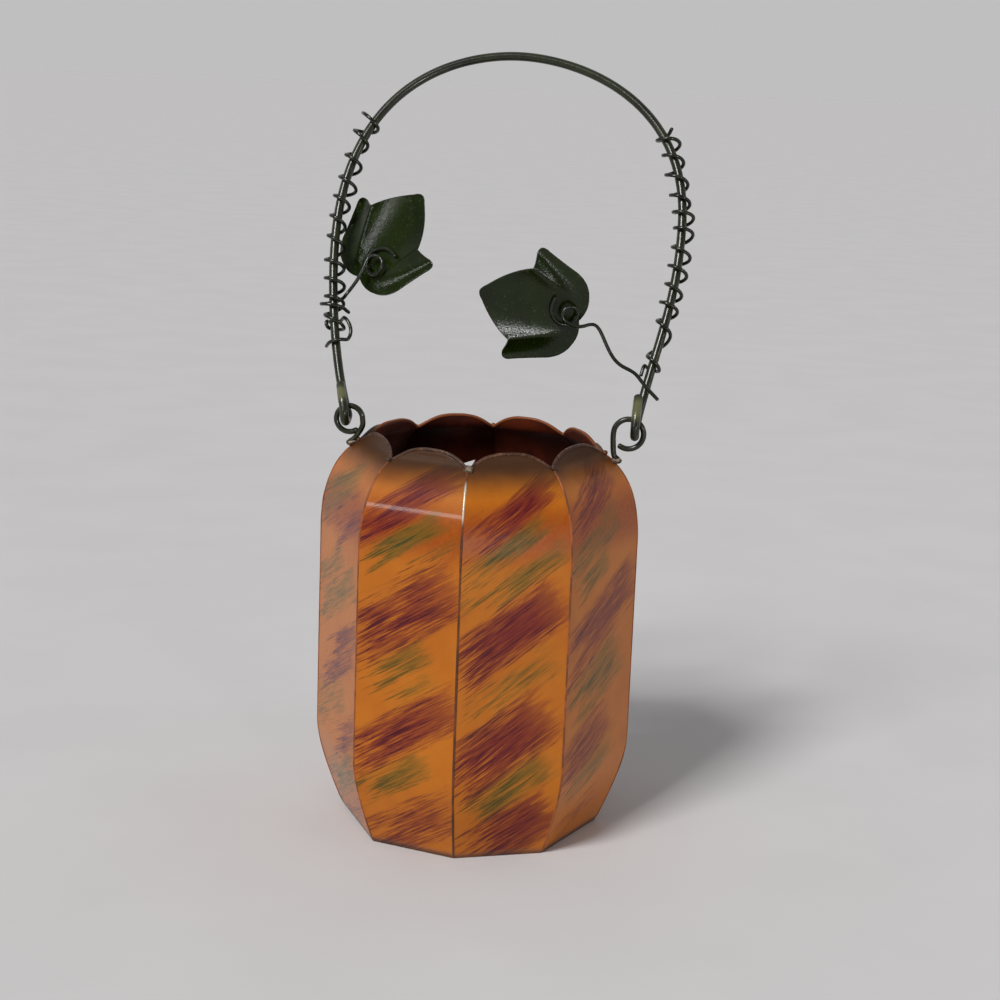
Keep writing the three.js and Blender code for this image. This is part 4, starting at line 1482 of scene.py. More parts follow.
    def cut_face(self, thing: bpy.types.Object, start: float, end: float, mirror: int) -> None:
        """Cuts half of the face through a panel.

        Args:
            thing: The panel.
            start: Its first seam's angle, in degrees.
            end: Its other seam's angle.
            mirror: 1 where the front seam is on its low side, else -1.
        """
        seam_out = self.body.seam_radius * math.sin(math.radians(end - start) / 2)
        for outline in (self.face.eye(), self.face.nose_half(), self.face.mouth_half()):
            cutter = self.face.cutter(outline, (start + end) / 2, mirror, seam_out, self.body.seam_radius)
            cut = thing.modifiers.new("cut", "BOOLEAN")
            cut.operation, cut.object, cut.solver = "DIFFERENCE", cutter, "EXACT"
            settle(thing)
            bpy.data.objects.remove(cutter)
        thing.data.polygons.foreach_set("use_smooth", [True] * len(thing.data.polygons))
        thing.data.set_sharp_from_angle(angle=math.radians(self.face_crease))

    def build_beads(self, seams: Sequence[float]) -> None:
        """Adds the rim's bead, the seams' solder, the ring tails' paint and the notches' drops.

        Args:
            seams: The seams' angles, in degrees.
        """
        rim = Sheaf()
        line = self.body.rim_line()
        radii = self.rim_bead * uneven(len(line), self.rim_seed, self.rim_waver, 3)
        rim.tube(line, radii, self.bead_sides, closed=True)
        rim_paint = self.rim_finish.build("rim_paint")
        mount(rim.piece("rim_bead", [rim_paint]), "lantern")
        thick = self.main_seams.build("main_seam_paint")
        thin = self.side_seams.build("side_seam_paint")
        beads = Sheaf()
        for i, angle in enumerate(seams[:-1]):
            main = angle % 180 == 0
            path = self.body.seam_line(angle, self.bead_out - (0 if main else self.side_bead_in))
            radii = self.seam_bead * uneven(len(path), self.seam_seed + i, self.seam_waver, 4)
            beads.tube(path, radii, self.bead_sides, tag=0 if main else 1)
        mount(beads.piece("seam_beads", [thick, thin]), "lantern")
        strips = Sheaf()
        for angle, way, reach, size in self.ring_tails:
            at = seams.index(angle) * self.body.rim_steps
            strip = np.array([line[(at + way * k) % len(line)] for k in range(1, reach)])
            outward = strip * np.array([1, 1, 0])
            strip = strip + outward / np.linalg.norm(outward, axis=1)[:, None] * self.tail_out
            start, end, power = self.tail_taper
            taper = size * np.sin(np.linspace(start, end, len(strip))) ** power
            strips.tube(strip, taper, self.tail_sides)
        tail_paint = self.tail_finish.build("tail_paint")
        mount(strips.piece("ring_tail_paint", [tail_paint]), "lantern")
        drops = Sheaf()
        for i, angle in enumerate(seams[:-1]):
            out, _ = facing_frame(angle)
            size = self.side_drop if i else self.main_drop
            middle = out * (self.body.notch_radius + self.drop_out)
            middle[2] = self.body.notch_height + self.drop_up
            drops.blob(middle, (size, size, size * self.drop_height), self.drop_seed + i, min(i, 1))
        bare = self.solder.build("bare_solder")
        mount(drops.piece("notch_solder", [bare, rim_paint]), "lantern")

    def build_tin(self, lining: bpy.types.Material) -> None:
        """Adds the base plate and the candle cup.

        Args:
            lining: Their paint.
        """
        body = self.body
        half = math.radians(90 - body.seam_angle) / 2
        radius = body.base_radius - (body.sheet + self.plate_gap) / math.cos(half)
        corners = [math.radians(angle) for angle in body.seams()[:-1]]
        rings = [[((radius - shrink) * math.sin(a), -(radius - shrink) * math.cos(a), z) for a in corners]
                 for z, shrink in self.plate_edge]
        sides, last = len(corners), len(rings) - 1
        faces = [tuple(reversed(range(sides))), tuple(range(last * sides, (last + 1) * sides))]
        faces += [(i * sides + k, i * sides + (k + 1) % sides, (i + 1) * sides + (k + 1) % sides,
                   (i + 1) * sides + k) for i in range(last) for k in range(sides)]
        plate = Sheaf()
        plate.add(np.vstack(rings), faces)
        mount(plate.piece("base_sheet", [lining], smooth=False), "lantern", ["base_plate"])
        inner, top = body.cup_radius, body.cup_depth
        outer = inner + body.sheet
        lip = outer + body.cup_lip
        outline = [(0, 0), (outer - 1.2, 0), (outer - 0.35, 0.3), (outer, 1.1), (outer, top - 1.3),
                   (outer + 0.25, top - 0.75), (lip - 0.25, top - 0.6), (lip, top - 0.3),
                   (lip - 0.25, top), (inner + 0.7, top), (inner + 0.1, top - 0.35), (inner, top - 1),
                   (inner, 1.4), (inner - 0.4, 0.75), (inner - 1.1, body.sheet), (0, body.sheet)]
        around, count = self.cup_steps, len(outline)
        points = []
        for k in range(around):
            turn = 2 * math.pi * k / around
            points += [(r * math.cos(turn), r * math.sin(turn), z + body.cup_seat) for r, z in outline]
        faces = []
        for k in range(around):
            here, following = k * count, (k + 1) % around * count
            faces += [(here + i, following + i, following + i + 1, here + i + 1) for i in range(count - 1)]
        cup = Sheaf()
        cup.add(np.array(points), faces)
        thing = cup.piece("drawn_candle_cup", [lining])
        mesh = bmesh.new()
        mesh.from_mesh(thing.data)
        bmesh.ops.remove_doubles(mesh, verts=mesh.verts, dist=LEAST)
        mesh.to_mesh(thing.data)
        mesh.free()
        thing.data.set_sharp_from_angle(angle=math.radians(self.cup_crease))
        mount(thing, "lantern", ["candle_cup"])


# The rings and the handle


@dataclass
class EyeRing:
    """An eye ring of one wire, soldered to the shoulder.

    Sizes are in millimetres. The middle and the hook that hangs in the ring are places along x, and the
    loop ends at an angle round it. The tail starts below the notch and runs down the shoulder, whose length
    for each millimetre further out is its slope. The drop of solder has half sizes, and sits outwards and
    up from the tail's middle.
    """

    side: Side
    radius: float
    middle: float
    hook: float
    wire: float = 1.5
    hinge: float = 111.0
    end_angle: float = 303.0
    tail: float = 1.8
    tail_start: float = 1.0
    slope: float = 1.15
    solder_gap: float = 0.3
    loop_steps: int = 16
    sides: int = 16
    waver: float = 0.015
    drop: Point = (1.35, 1.0, 0.95)
    drop_at: tuple[float, float] = (-0.45, -0.35)
    wire_seed: int = 7
    drop_seed: int = 60
    body: PumpkinBody = field(default_factory=PumpkinBody)

    def path(self) -> np.ndarray:
        """The wire's middle line, from its tail round the loop.

        Returns:
            The points, in rows.
        """
        body, sign = self.body, self.side.value
        shoulder = body.shoulder(2 * body.curve_steps[0])
        run = lengths(shoulder)
        ahead = np.gradient(shoulder, axis=0)
        ahead /= np.linalg.norm(ahead, axis=1)[:, None]
        inner = abs(self.middle) - self.radius
        start = max(self.tail_start, (inner - body.notch_radius) * self.slope)
        points = []
        for along in (self.tail, self.tail / 2, 0):
            at = run[-1] - start - along
            p = np.array([np.interp(at, run, shoulder[:, k]) for k in (0, 1)])
            d = np.array([np.interp(at, run, ahead[:, k]) for k in (0, 1)])
            p = p + np.array([d[1], -d[0]]) * (self.wire / 2 + self.solder_gap)
            points.append((sign * p[0], 0, p[1]))
        height = self.hinge - math.sqrt(self.radius ** 2 - (self.hook - self.middle) ** 2)
        points.append((sign * inner, 0, height - self.radius / 2))
        for i in range(self.loop_steps + 1):
            angle = math.radians(self.end_angle * i / self.loop_steps)
            points.append((self.middle - sign * self.radius * math.cos(angle), 0,
                           height + self.radius * math.sin(angle)))
        return centripetal(np.array(points), 6)

    def build(self, enamel: bpy.types.Material, solder: bpy.types.Material) -> None:
        """Builds the ring and the solder on its tail.

        Args:
            enamel: The wire's paint.
            solder: The solder under its tail.
        """
        name = f"{self.side.name.lower()}_ring"
        path = self.path()
        ring = Sheaf()
        ring.tube(path, self.wire / 2 * uneven(len(path), self.wire_seed, self.waver, 6), self.sides)
        tail, sign = path[:len(path) // 12], self.side.value
        outwards, up = self.drop_at
        middle = tail.mean(0) + np.array([outwards * sign, 0, up])
        ring.blob(middle, self.drop, self.drop_seed + sign, 1)
        mount(ring.piece(name + "_wire", [enamel, solder]), "lantern", [name])


@dataclass(frozen=True)
class Half:
    """Half of the handle's arch, from its hook to the top.

    Args:
        side: Its side.
        hook: The x of its hook.
        bow: How far out the arch goes from there.
        height: The height where it is widest.
        splay: How far the leg leaves its hook outwards, for each millimetre of its height.
        leg: The length of the leg's curves, as a share of its height.
        rise: How steeply the arch goes on above.
        crown: How flat it is at the top.
        tail: How far out the hook's bend and its tail end.
        tail_top: The height of the tail's end.
    """

    side: Side
    hook: float
    bow: float
    height: float
    splay: float
    leg: float
    rise: float
    crown: float
    tail: tuple[float, float]
    tail_top: float


@dataclass
class Handle:
    """The bail handle's wire, in its own plane: x to the right, y up and z to the plain side.

    Sizes are in millimetres. The drop is how far the hooks' bends reach below the hinge line, and the lean
    is how far the handle leans back at rest, in degrees.
    """

    left: Half = Half(Side.LEFT, -36.1, 8.0, 48.5, 0.36, 0.29, 0.815, 0.374, (0.3, 2.2), 5.5)
    right: Half = Half(Side.RIGHT, 40.3, 9.3, 56.5, 0.17, 0.4, 0.753, 0.38, (0.1, 0.4), 6.1)
    wire: float = 2.4
    ring_wire: float = 1.5
    running_gap: float = 0.5
    top: tuple[float, float] = (1.8, 103.2)
    drop: float = 4.2
    hinge: float = 111.0
    lean: float = 25.0
    hook_steps: int = 8
    arch_steps: int = 60
    sides: int = 20
    waver: float = 0.012
    seed: int = 11

    @property
    def hook_half(self) -> float:
        """Half of the way between a hook's two sides."""
        return (self.wire + self.ring_wire) / 2 + self.running_gap

    def placed(self) -> Matrix:
        """The handle's place on the lantern, in millimetres."""
        turn = Matrix.Rotation(math.pi / 2 - math.radians(self.lean), 4, "X")
        return Matrix.Translation((0, 0, self.hinge)) @ turn

    def to_lantern(self, points: np.ndarray) -> np.ndarray:
        """Moves points from the handle's plane to the lantern's frame."""
        place = np.array(self.placed())
        return np.asarray(points, float) @ place[:3, :3].T + place[:3, 3]

    def curves(self, half: Half) -> list[list[tuple[float, float]]]:
        """The two curves of one half: the leg, and the bow over to the top.

        Args:
            half: The half.

        Returns:
            The control points of both.
        """
        low = self.hook_half - self.drop
        sign = half.side.value
        bow = (half.hook + sign * half.bow, half.height)
        leg = (bow[1] - low) * half.leg
        above = (bow[0], bow[1] + (self.top[1] - bow[1]) * half.rise)
        beside = (self.top[0] + (bow[0] - self.top[0]) * half.crown, self.top[1])
        return [[(half.hook, low), (half.hook + sign * half.splay * leg, low + leg),
                 (bow[0], bow[1] - leg), bow], [bow, above, beside, self.top]]

    def half_line(self, half: Half, steps: int = 300) -> np.ndarray:
        """Points of one half, from its hook up."""
        leg, bow = (bezier(curve, np.linspace(0, 1, steps)) for curve in self.curves(half))
        return np.vstack([leg, bow[1:]])

    def hook_points(self, half: Half) -> list[Point]:
        """A hook's bend and tail, from where the leg ends.

        Args:
            half: The half that it belongs to.

        Returns:
            The points in the handle's frame.
        """
        low = self.hook_half - self.drop
        sign = half.side.value
        start, end = half.tail
        points = []
        for i in range(1, self.hook_steps + 1):
            share = i / self.hook_steps
            points.append((half.hook + sign * start * share,
                           low - self.hook_half * math.sin(math.pi * share),
                           -self.hook_half * math.cos(math.pi * share)))
        clear = self.ring_wire / 2 + self.running_gap
        risen = (clear - low) / (half.tail_top - low)
        points.append((half.hook + sign * (start + (end - start) * risen), clear, self.hook_half))
        points.append((half.hook + sign * end, half.tail_top, self.wire + self.running_gap - self.hook_half))
        return points

    def path(self) -> np.ndarray:
        """The wire's middle line in the lantern's frame.

        Returns:
            The points, in rows.
        """
        points = list(reversed(self.hook_points(self.left)))
        left, right = (self.half_line(half, self.arch_steps) for half in (self.left, self.right))
        arch = np.vstack([left, right[::-1][1:]])
        keep = np.concatenate([arch[::3], arch[-1:]]) if (len(arch) - 1) % 3 else arch[::3]
        points += [(x, y, -self.hook_half) for x, y in keep]
        points += self.hook_points(self.right)
        return self.to_lantern(centripetal(np.array(points), 5))

    def beside(self, half: Half, height: float, aside: float, front: float) -> Point:
        """A point beside the handle.

        Args:
            half: The half of the arch.
            height: The height in the handle's plane.
            aside: How far to the right of the wire's middle.
            front: How far in front of it.

        Returns:
            The point in the handle's own frame.
        """
        line = self.half_line(half)
        i = int(np.clip(np.searchsorted(line[:, 1], height), 1, len(line) - 1))
        share = (height - line[i - 1, 1]) / max(line[i, 1] - line[i - 1, 1], LEAST)
        at = line[i - 1] + (line[i] - line[i - 1]) * min(max(share, 0), 1)
        up = (line[i] - line[i - 1]) / np.linalg.norm(line[i] - line[i - 1])
        return (at[0] + up[1] * aside, at[1] - up[0] * aside, front - self.hook_half)

    def build(self, enamel: bpy.types.Material) -> None:
        """Builds the handle's wire.

        Args:
            enamel: Its paint.
        """
        path = self.path()
        wire = Sheaf()
        wire.tube(path, self.wire / 2 * uneven(len(path), self.seed, self.waver, 5), self.sides)
        mount(wire.piece("handle_bail", [enamel]), "handle", ["handle_wire"])


@dataclass(frozen=True)
class LeafPlace:
    """Where a leaf sits in the handle's frame, and the curl of its stem.

    Args:
        hook: The x of the hook that it is measured from.
        at: Its base, out from there and up from the hinge line.
        direction: The way that it points, in degrees.
        pitch: How far its tip comes forward, in degrees.
        roll: How far it turns about its middle line, in degrees.
        back: How far it sits behind the hinge plane.
        curl: The middle of its stem's curl, on the leaf.
        radius: The curl's radius.
    """

    hook: float
    at: tuple[float, float]
    direction: float
    pitch: float
    roll: float
    back: float
    curl: tuple[float, float]
    radius: float

    def matrix(self) -> np.ndarray:
        """The leaf's frame in the handle's.

        Returns:
            A matrix in millimetres.
        """
        turn = (Matrix.Rotation(math.radians(self.direction), 4, "Z")
                @ Matrix.Rotation(math.radians(self.pitch), 4, "Y")
                @ Matrix.Rotation(math.radians(self.roll), 4, "X"))
        place = Matrix.Translation((self.hook + self.at[0], self.at[1], -self.back)) @ turn
        return np.array(place)


@dataclass
class Leaf:
    """A stamped leaf with two creases, dished between them and bent back beyond."""

    length: float = 28.4
    half_width: float = 15.8
    notch_at: float = 17.0
    notch_out: float = 10.2
    sheet: float = 0.5
    lobe_reach: float = 1.1
    crease_rise: float = 1.5
    crease_limit: float = 1.2
    crease_start: float = 3.2
    dish_power: float = 2.6
    lobe_fall: float = 1.6
    lobe_turn: float = 0.62
    mesh_step: float = 0.55
    grid_past: tuple[float, float, float] = (3.0, 1.0, 2.2)
    arc_steps: int = 12
    edge_round: float = 0.12
    edge_angle: float = 50.0
    side_lobe: tuple[tuple[float, float], ...] = (
        (0.01, 0), (-0.106, 0.22), (-0.024, 0.44), (0.047, 0.68), (0.294, 0.78), (0.53, 0.86),
        (0.8, 0.97), (0.988, 1.07), (0.994, 0.88), (0.965, 0.75))
    main_lobe: tuple[tuple[float, float], ...] = ((0, 1), (0.45, 0.78), (0.886, 0.2), (1, 0.09), (1, 0))

    def outline(self) -> np.ndarray:
        """The leaf's outline on its own plane.

        Returns:
            The points, in rows.
        """
        beyond = self.length - self.notch_at
        marks = [(a * self.notch_at, c * self.half_width) for a, c in self.side_lobe]
        marks += [(self.notch_at + a * beyond, c * self.notch_out) for a, c in self.main_lobe]
        marks = [(0.0, 0.0)] + marks[1:]
        half = [np.array(marks[0])]
        for i in range(1, len(marks) - 1, 2):
            arc = bezier([half[-1], marks[i], marks[i + 1]], np.linspace(0, 1, self.arc_steps + 1))
            half.extend(arc[1:])
        half = np.array(half)
        other = half[1:-1][::-1] * np.array([1, -1])
        return np.vstack([half, other])

    def height(self, along: np.ndarray, out: np.ndarray) -> np.ndarray:
        """The sheet's height above its base plane.

        Args:
            along: The places along the leaf.
            out: The places out from its middle line.

        Returns:
            The heights.
        """
        ridge = self.crease_rise * np.clip(along / self.notch_at, 0, self.crease_limit)
        crease = self.crease_start + along * (self.notch_out - self.crease_start) / self.notch_at
        width = self.lobe_reach * (self.half_width - self.notch_out)
        beyond = (np.abs(out) - crease) / width
        inside = ridge * np.clip(np.abs(out) / np.maximum(crease, LEAST), 0, 2) ** self.dish_power
        outside = ridge * (1 - self.lobe_fall * np.sin(np.minimum(1, beyond) * self.lobe_turn * math.pi))
        return np.where(beyond <= 0, inside, outside)

    def sheet_mesh(self) -> bmesh.types.BMesh:
        """The leaf's outline cut into a fine grid and raised to its height.

        Returns:
            The mesh, without thickness.
        """
        mesh = bmesh.new()
        ring = [mesh.verts.new((x, y, 0)) for x, y in self.outline()]
        face = mesh.faces.new(ring)
        bmesh.ops.triangulate(mesh, faces=[face])
        base, tip, side = self.grid_past
        beside = self.half_width + side
        for axis, low, high in ((0, -base, self.length + tip), (1, -beside, beside)):
            for at in np.arange(low, high, self.mesh_step):
                normal = (1, 0, 0) if axis == 0 else (0, 1, 0)
                point = (at, 0, 0) if axis == 0 else (0, at + self.mesh_step / 3, 0)
                bmesh.ops.bisect_plane(mesh, geom=mesh.verts[:] + mesh.edges[:] + mesh.faces[:],
                                       plane_co=point, plane_no=normal, dist=1e-5)
        slanted = [e for e in mesh.edges if len(e.link_faces) == 2
                   and abs(e.verts[0].co.x - e.verts[1].co.x) > 1e-4
                   and abs(e.verts[0].co.y - e.verts[1].co.y) > 1e-4]
        bmesh.ops.dissolve_limit(mesh, angle_limit=math.radians(0.5), verts=[], edges=slanted)
        along = np.array([v.co.x for v in mesh.verts])
        out = np.array([v.co.y for v in mesh.verts])
        for vert, height in zip(mesh.verts, self.height(along, out)):
            vert.co.z = height
        return mesh

    def build(self, name: str, place: LeafPlace, handle: Handle, enamel: bpy.types.Material) -> None:
        """Builds one leaf on its place.

        Args:
            name: The node that the leaf stands for.
            place: The leaf's place.
            handle: The handle that carries it.
            enamel: Its paint.
        """
        grid = self.sheet_mesh()
        mesh = bpy.data.meshes.new(name + "_sheet")
        grid.to_mesh(mesh)
        grid.free()
        move = Matrix.Scale(MM, 4) @ handle.placed() @ Matrix(place.matrix().tolist())
        mesh.transform(move)
        mesh.materials.append(enamel)
        thing = in_scene(name + "_sheet", mesh)
        solid = thing.modifiers.new("thickness", "SOLIDIFY")
        solid.thickness, solid.offset = self.sheet * MM, 0.0
        round_edge = thing.modifiers.new("edge", "BEVEL")
        round_edge.width, round_edge.segments = self.edge_round * MM, 2
        round_edge.limit_method, round_edge.angle_limit = "ANGLE", math.radians(self.edge_angle)
        settle(thing)
        thing.data.polygons.foreach_set("use_smooth", [True] * len(thing.data.polygons))
        mount(thing, "handle", [name])


@dataclass
class Vines:
    """The two coils wound on the handle, and the stems that end in curls on the leaves."""

    handle: Handle = field(default_factory=Handle)
    leaf: Leaf = field(default_factory=Leaf)
    wire: float = 1.0
    depth: float = 2.4
    solder_gap: float = 0.3
    curl_sweep: float = 470.0
    curl_opens: float = 300.0
    curl_lands: float = 340.0
    curl_spread: float = 3.4
    curl_lift: float = 1.8
    hand_bend: float = 2.4
    sides: int = 12
    waver: float = 0.07
    left_marks: tuple[Mark, ...] = (
        (82.4, -4.2), (81, 2.2), (77.9, -3.7), (75.7, 2.2), (71.3, -2.7), (69.3, 3), (65.2, -2.2),
        (62.5, 3.6), (59.8, -2.2), (57.2, 2.8), (54.2, -2.2), (51.2, 2.5), (48.5, -2.2), (45, 2.7),
        (41.5, -2.5), (39, 3), (36.4, -2.4), (33.8, 3.2), (31.3, -2.4), (28.9, 2.9), (26.2, -2.6),
        (21.8, 2.7), (22.9, -2.2, 0), (24.5, -2.2, -1.7), (25.4, 2.6, 0), (21.7, 4.8, 0),
        (18.3, 3.4, 1), (17.8, -2.3))
    right_marks: tuple[Mark, ...] = (
        (81.6, 2.4), (81.2, -2.2), (77.9, 3.3), (76.8, -2.6), (73.1, 2.4), (71.1, -3.5), (67.1, 2.2),
        (64.8, -3.2), (61.8, 2.2), (59.6, -2.7), (58, 3.2), (54.9, -2.2), (53.4, 3.3), (49.4, -2.3),
        (46.7, 3.2), (44.1, -2.6), (41.7, 3), (38.8, -2.5), (36.1, 2.7), (33.4, -2.8), (31.7, 2.6),
        (28.2, -2.4), (24.9, 2.5), (18.2, -2.2), (15.2, 2.2), (15.8, -2.2, 0), (13.8, -2.2))
    stem_marks: tuple[Mark, ...] = ((26.8, 3.4, 1), (29.2, -3.6, -1), (31.2, 3.3))
    left_bends: tuple[tuple[float, float], ...] = ((-2.8, 33), (-0.1, 37.7))
    right_bends: tuple[tuple[float, float], ...] = (
        (4.7, 7), (2.9, 8.8), (1.2, 10.6), (-0.6, 13), (-2.6, 14), (-5.1, 15.1), (-7.3, 17.4),
        (-9.2, 21.1), (-10.8, 24.4), (-12.3, 26), (-14.3, 25.5), (-16.5, 24.6))
    left_leaf: LeafPlace = LeafPlace(-36.1, (-1.3, 38.8), 51, -20.7, -13.9, 8, (5.8, -2.9), 2.6)
    right_leaf: LeafPlace = LeafPlace(40.3, (-16.7, 27.6), 172.4, -21.7, -31.5, 2.6, (3.5, -1.4), 2.1)

    def wound(self, half: Half, marks: Sequence[Mark], steps: int = 4) -> list[Point]:
        """Points of a wire wound round half of the handle.

        Args:
            half: The half.
            marks: Where the strands pass beside it, from the top down.
            steps: Steps between two marks.

        Returns:
            The points in the handle's frame.
        """
        points = []
        for i, (mark, following) in enumerate(zip(marks[:-1], marks[1:])):
            passing = mark[2] if len(mark) > 2 else -math.copysign(1, mark[1])
            flat = passing == 0
            for k in range(0 if i == 0 else steps if flat else 1, steps + 1):
                turn = math.pi * k / steps
                across = mark[1] + (following[1] - mark[1]) * (1 - math.cos(turn)) / 2
                height = mark[0] + (following[0] - mark[0]) * k / steps
                points.append(self.handle.beside(half, height, across,
                                                 passing * self.depth * math.sin(turn)))
        return points

    def curl(self, place: LeafPlace, steps: int = 40) -> list[Point]:
        """The curl at a stem's end, on the front of its leaf.

        Args:
            place: The leaf's place.
            steps: Steps round the curl.

        Returns:
            The points in the handle's frame.
        """
        seat = (self.leaf.sheet + self.wire) / 2 + self.solder_gap
        points = []
        for i in range(steps + 1):
            turned = self.curl_sweep * i / steps
            angle = math.radians(90 - turned)
            opened = max(0.0, (turned - self.curl_opens) / (self.curl_sweep - self.curl_opens))
            reach = place.radius + self.curl_spread * opened
            lift = self.curl_lift * max(0.0, 1 - turned / self.curl_lands)
            x = place.curl[0] + reach * math.cos(angle)
            y = place.curl[1] + reach * math.sin(angle)
            z = seat + lift + float(self.leaf.height(np.array([x]), np.array([y]))[0])
            points.append(tuple((place.matrix() @ np.array([x, y, z, 1]))[:3]))
        return points

    def stem(self, hook: float, bends: Sequence[tuple[float, float]], level: int, front: float,
             place: LeafPlace) -> list[Point]:
        """A stem's bent stretch and its curl.

        Args:
            hook: The x of the hook that the bends start from.
            bends: The bends, out from the hook and up from the hinge.
            level: Bends up to this one keep their height.
            front: That height in front of the hinge plane.
            place: The leaf's place.

        Returns:
            The points in the handle's frame.
        """
        curl = self.curl(place)
        points = []
        for i, (out, height) in enumerate(bends):
            sink = max(0.0, (i + 1 - level) / (len(bends) + 1 - level))
            points.append((hook + out, height, front + (curl[0][2] - front) * sink))
        return points + curl

    def tube(self, name: str, points: Sequence[Point], seed: int, enamel: bpy.types.Material) -> None:
        """Builds one thin wire.

        Args:
            name: The node that it stands for.
            points: Its points in the handle's frame.
            seed: The seed of its unevenness.
            enamel: Its paint.
        """
        line = np.array(points)
        first, last = (end + (end - near) / np.linalg.norm(end - near) * self.wire
                       for end, near in ((line[0], line[1]), (line[-1], line[-2])))
        line = np.vstack([first, line, last])
        path = self.handle.to_lantern(softened(centripetal(line, 5), self.hand_bend))
        wire = Sheaf()
        wire.tube(path, self.wire / 2 * uneven(len(path), seed, self.waver, 5), self.sides)
        mount(wire.piece(name + "_strand", [enamel]), "handle", [name])

    def build(self, vine: bpy.types.Material, leaf: bpy.types.Material) -> None:
        """Builds the coils, the stems and the leaves.

        Args:
            vine: The wires' paint.
            leaf: The leaves' paint.
        """
        handle = self.handle
        self.tube("left_vine_coil", self.wound(handle.left, self.left_marks), 21, vine)
        self.tube("right_vine_coil", self.wound(handle.right, self.right_marks), 22, vine)
        loop = self.wound(handle.left, self.stem_marks)
        left = self.stem(handle.left.hook, self.left_bends, 0, -handle.hook_half, self.left_leaf)
        self.tube("left_leaf_stem", loop + left, 23, vine)
        front = (handle.wire + self.wire) / 2 + self.solder_gap - handle.hook_half
        right = self.stem(handle.right.hook, self.right_bends, 3, front, self.right_leaf)
        self.tube("right_leaf_stem", right, 24, vine)
        self.leaf.build("left_leaf", self.left_leaf, handle, leaf)
        self.leaf.build("right_leaf", self.right_leaf, handle, leaf)


@dataclass
class HandlePieces:
    """Builds and dresses the rings, the handle, the vines and the leaves."""

    rings: tuple[EyeRing, ...] = (
        EyeRing(Side.LEFT, 3.5, -35.4, -36.1), EyeRing(Side.RIGHT, 3.95, 38.7, 40.3))
    handle: Handle = field(default_factory=Handle)
    vines: Vines = field(default_factory=Vines)
    wire_finish: Enamel = Enamel(gloss=0.35, coat=0.25, pale_spots=(
        ((-38.0, -1.5, 114.5), 3.4), ((40.7, -1.5, 114.5), 4.2)))
    vine_finish: Enamel = Enamel(
        base=srgb(25, 30, 14), light=srgb(58, 64, 38), deep=srgb(14, 17, 8), roughness=0.17,
        gloss=0.34, coat=0.28)
    # The leaves' stronger light specks are partly painted glints of the orange peel.
    leaf_finish: Enamel = Enamel(
        base=srgb(25, 36, 4), light=srgb(42, 54, 14), deep=srgb(16, 25, 3), peel=Grain(2.1, 2, 0.6),
        depth=0.065, roughness=0.08, gloss=0.29, coat=0.0, specks=0.3)
    solder: Solder = Solder()

    def build(self) -> None:
        """Builds the pieces."""
        enamel = self.wire_finish.build("handle_enamel")
        vine = self.vine_finish.build("vine_enamel")
        leaf = self.leaf_finish.build("leaf_enamel")
        solder = self.solder.build("ring_solder")
        for ring in self.rings:
            ring.build(enamel, solder)
        self.handle.build(enamel)
        self.vines.build(vine, leaf)


# The studio


@dataclass(frozen=True)
class Lamp:
    """A soft lamp that looks at the lantern.

    Args:
        name: Its name.
        towards: The direction from the lantern to it.
        far: Its distance, in metres.
        size: Its width and height.
        power: Its power, in watts.
        roll: Its turn about its own axis, in degrees.
    """

    name: str
    towards: Point
    far: float
    size: tuple[float, float]
    power: float
    roll: float = 0.0

    def build(self, middle: Point) -> None:
        """Adds the lamp.

        Args:
            middle: The place that it looks at, in metres.
        """
        data = bpy.data.lights.new(self.name, "AREA")
        data.shape, data.size, data.size_y = "RECTANGLE", *self.size
        data.energy = self.power
        thing = in_scene(self.name, data)
        thing.visible_camera = False
        way = Vector(self.towards).normalized()
        thing.location = Vector(middle) + way * self.far
        turn = way.to_track_quat("Z", "Y").to_matrix() @ Matrix.Rotation(math.radians(self.roll), 3, "Z")
        thing.rotation_euler = turn.to_euler()
        log.info("lamp %s", self.name)


@dataclass(frozen=True)
class Sun:
    """An even, soft light from one direction.

    Args:
        name: Its name.
        towards: The direction that it comes from.
        strength: Its strength.
        spread: How wide it looks, in degrees.
    """

    name: str
    towards: Point
    strength: float
    spread: float

    def build(self) -> None:
        """Adds the light."""
        data = bpy.data.lights.new(self.name, "SUN")
        data.energy, data.angle = self.strength, math.radians(self.spread)
        thing = in_scene(self.name, data)
        thing.rotation_euler = Vector(self.towards).to_track_quat("Z", "Y").to_euler()
        log.info("light %s", self.name)


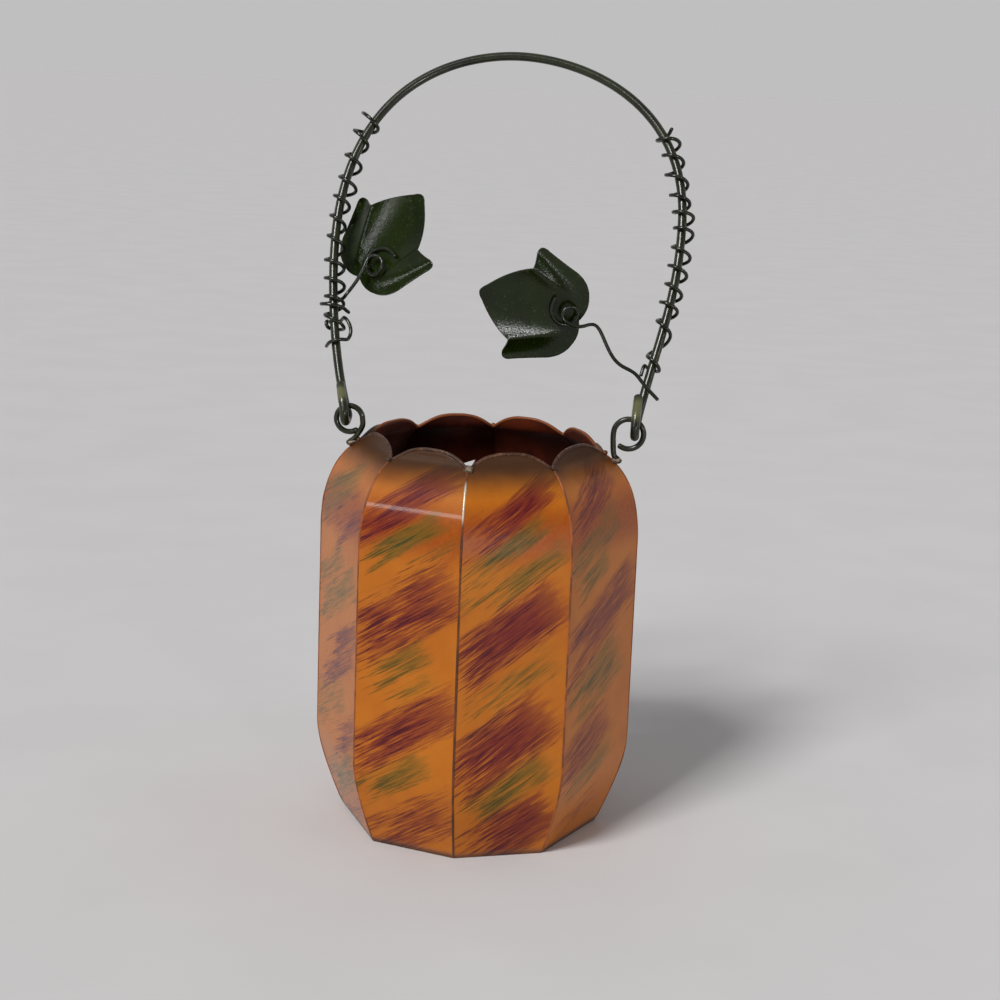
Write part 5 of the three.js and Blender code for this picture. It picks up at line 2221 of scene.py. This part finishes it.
@dataclass
class Studio:
    """A pale floor, soft lights and the camera at the photograph's angle.

    The camera's values are in millimetres, the floor's size and the lamps' aim in metres. The soft
    surroundings have one strength on the near side and one on the far side, and change over between two
    directions along y. The camera, gloss and glass see a plain wall instead, the last two only behind.
    """

    eye: Point = (49.647, -518.554, 198.361)
    ahead: Point = (-0.082942, 0.97464, -0.20784)
    up: Point = (-0.056008, 0.20367, 0.977436)
    lens: float = 72.0
    sensor: float = 36.0
    floor_size: float = 60.0
    aim: Point = (0, 0, 0.09)
    air: Colour = (0.97, 0.98, 1.0, 1)
    front_light: float = 0.16
    rear_light: float = 0.45
    turn_over: tuple[float, float] = (-0.55, 0.6)
    wall: Colour = (0.528, 0.52, 0.523, 1)
    sun: Sun = Sun("key", (-0.38, -0.64, 0.67), 2.4, 16)
    lamps: tuple[Lamp, ...] = (
        Lamp("strip", (-0.695, -0.64, 0.345), 1.2, (0.2, 0.07), 0.75),
        Lamp("side", (0.885, -0.37, 0.23), 1.6, (0.3, 0.06), 1.6, 45),
        Lamp("low", (0.465, -0.87, 0.03), 1.3, (0.1, 0.15), 2.5))

    def camera(self) -> None:
        """Places the camera."""
        data = bpy.data.cameras.new("view")
        data.lens, data.sensor_width, data.sensor_fit = self.lens, self.sensor, "HORIZONTAL"
        thing = in_scene("view", data)
        ahead, up = Vector(self.ahead), Vector(self.up)
        right = ahead.cross(up)
        turn = Matrix((right, up, -ahead)).transposed().to_4x4()
        thing.matrix_world = Matrix.Translation(Vector(self.eye) * MM) @ turn
        bpy.context.scene.camera = thing

    def floor(self) -> None:
        """Lays the floor."""
        bpy.ops.mesh.primitive_plane_add(size=self.floor_size, location=(0, 0, 0))
        thing = bpy.context.object
        thing.name = "floor"
        thing.data.materials.append(FloorFinish().build("floor_sheet"))
        log.info("floor laid")

    def world(self) -> None:
        """Makes the soft surroundings, and the pale wall that the camera, gloss and glass see."""
        world = bpy.data.worlds.new("surroundings")
        bpy.context.scene.world = world
        world.use_nodes = True
        graph = Graph(world.node_tree)
        _, y, _ = graph.parts(graph.node("ShaderNodeTexCoord", {}, {}, "Generated"))
        behind = y.ramp(*self.turn_over)
        path = graph.node("ShaderNodeLightPath", {}, {}, "Is Camera Ray")
        mirrored = path.other("Is Glossy Ray").greater(path.other("Is Transmission Ray"))
        front, rear, wall = (
            graph.node("ShaderNodeBackground", {}, {"Color": colour, "Strength": strength})
            for colour, strength in (
                (self.air, self.front_light), (self.air, self.rear_light), (self.wall, 1.0)))
        soft = graph.node("ShaderNodeMixShader", {}, {0: behind, 1: front, 2: rear})
        seen = graph.node("ShaderNodeMixShader", {}, {
            0: path.greater(mirrored * behind), 1: soft, 2: wall})
        graph.node("ShaderNodeOutputWorld", {}, {"Surface": seen})

    def build(self) -> None:
        """Sets up the studio."""
        self.camera()
        self.floor()
        self.sun.build()
        for lamp in self.lamps:
            lamp.build(self.aim)
        self.world()
        bpy.context.scene.view_settings.view_transform = "Standard"


def main() -> None:
    """Builds the holder and its studio."""
    logging.basicConfig(level=logging.INFO)
    Studio().build()
    PumpkinPieces().build()
    HandlePieces().build()
    bpy.context.view_layer.update()


if __name__ == "__main__":
    main()
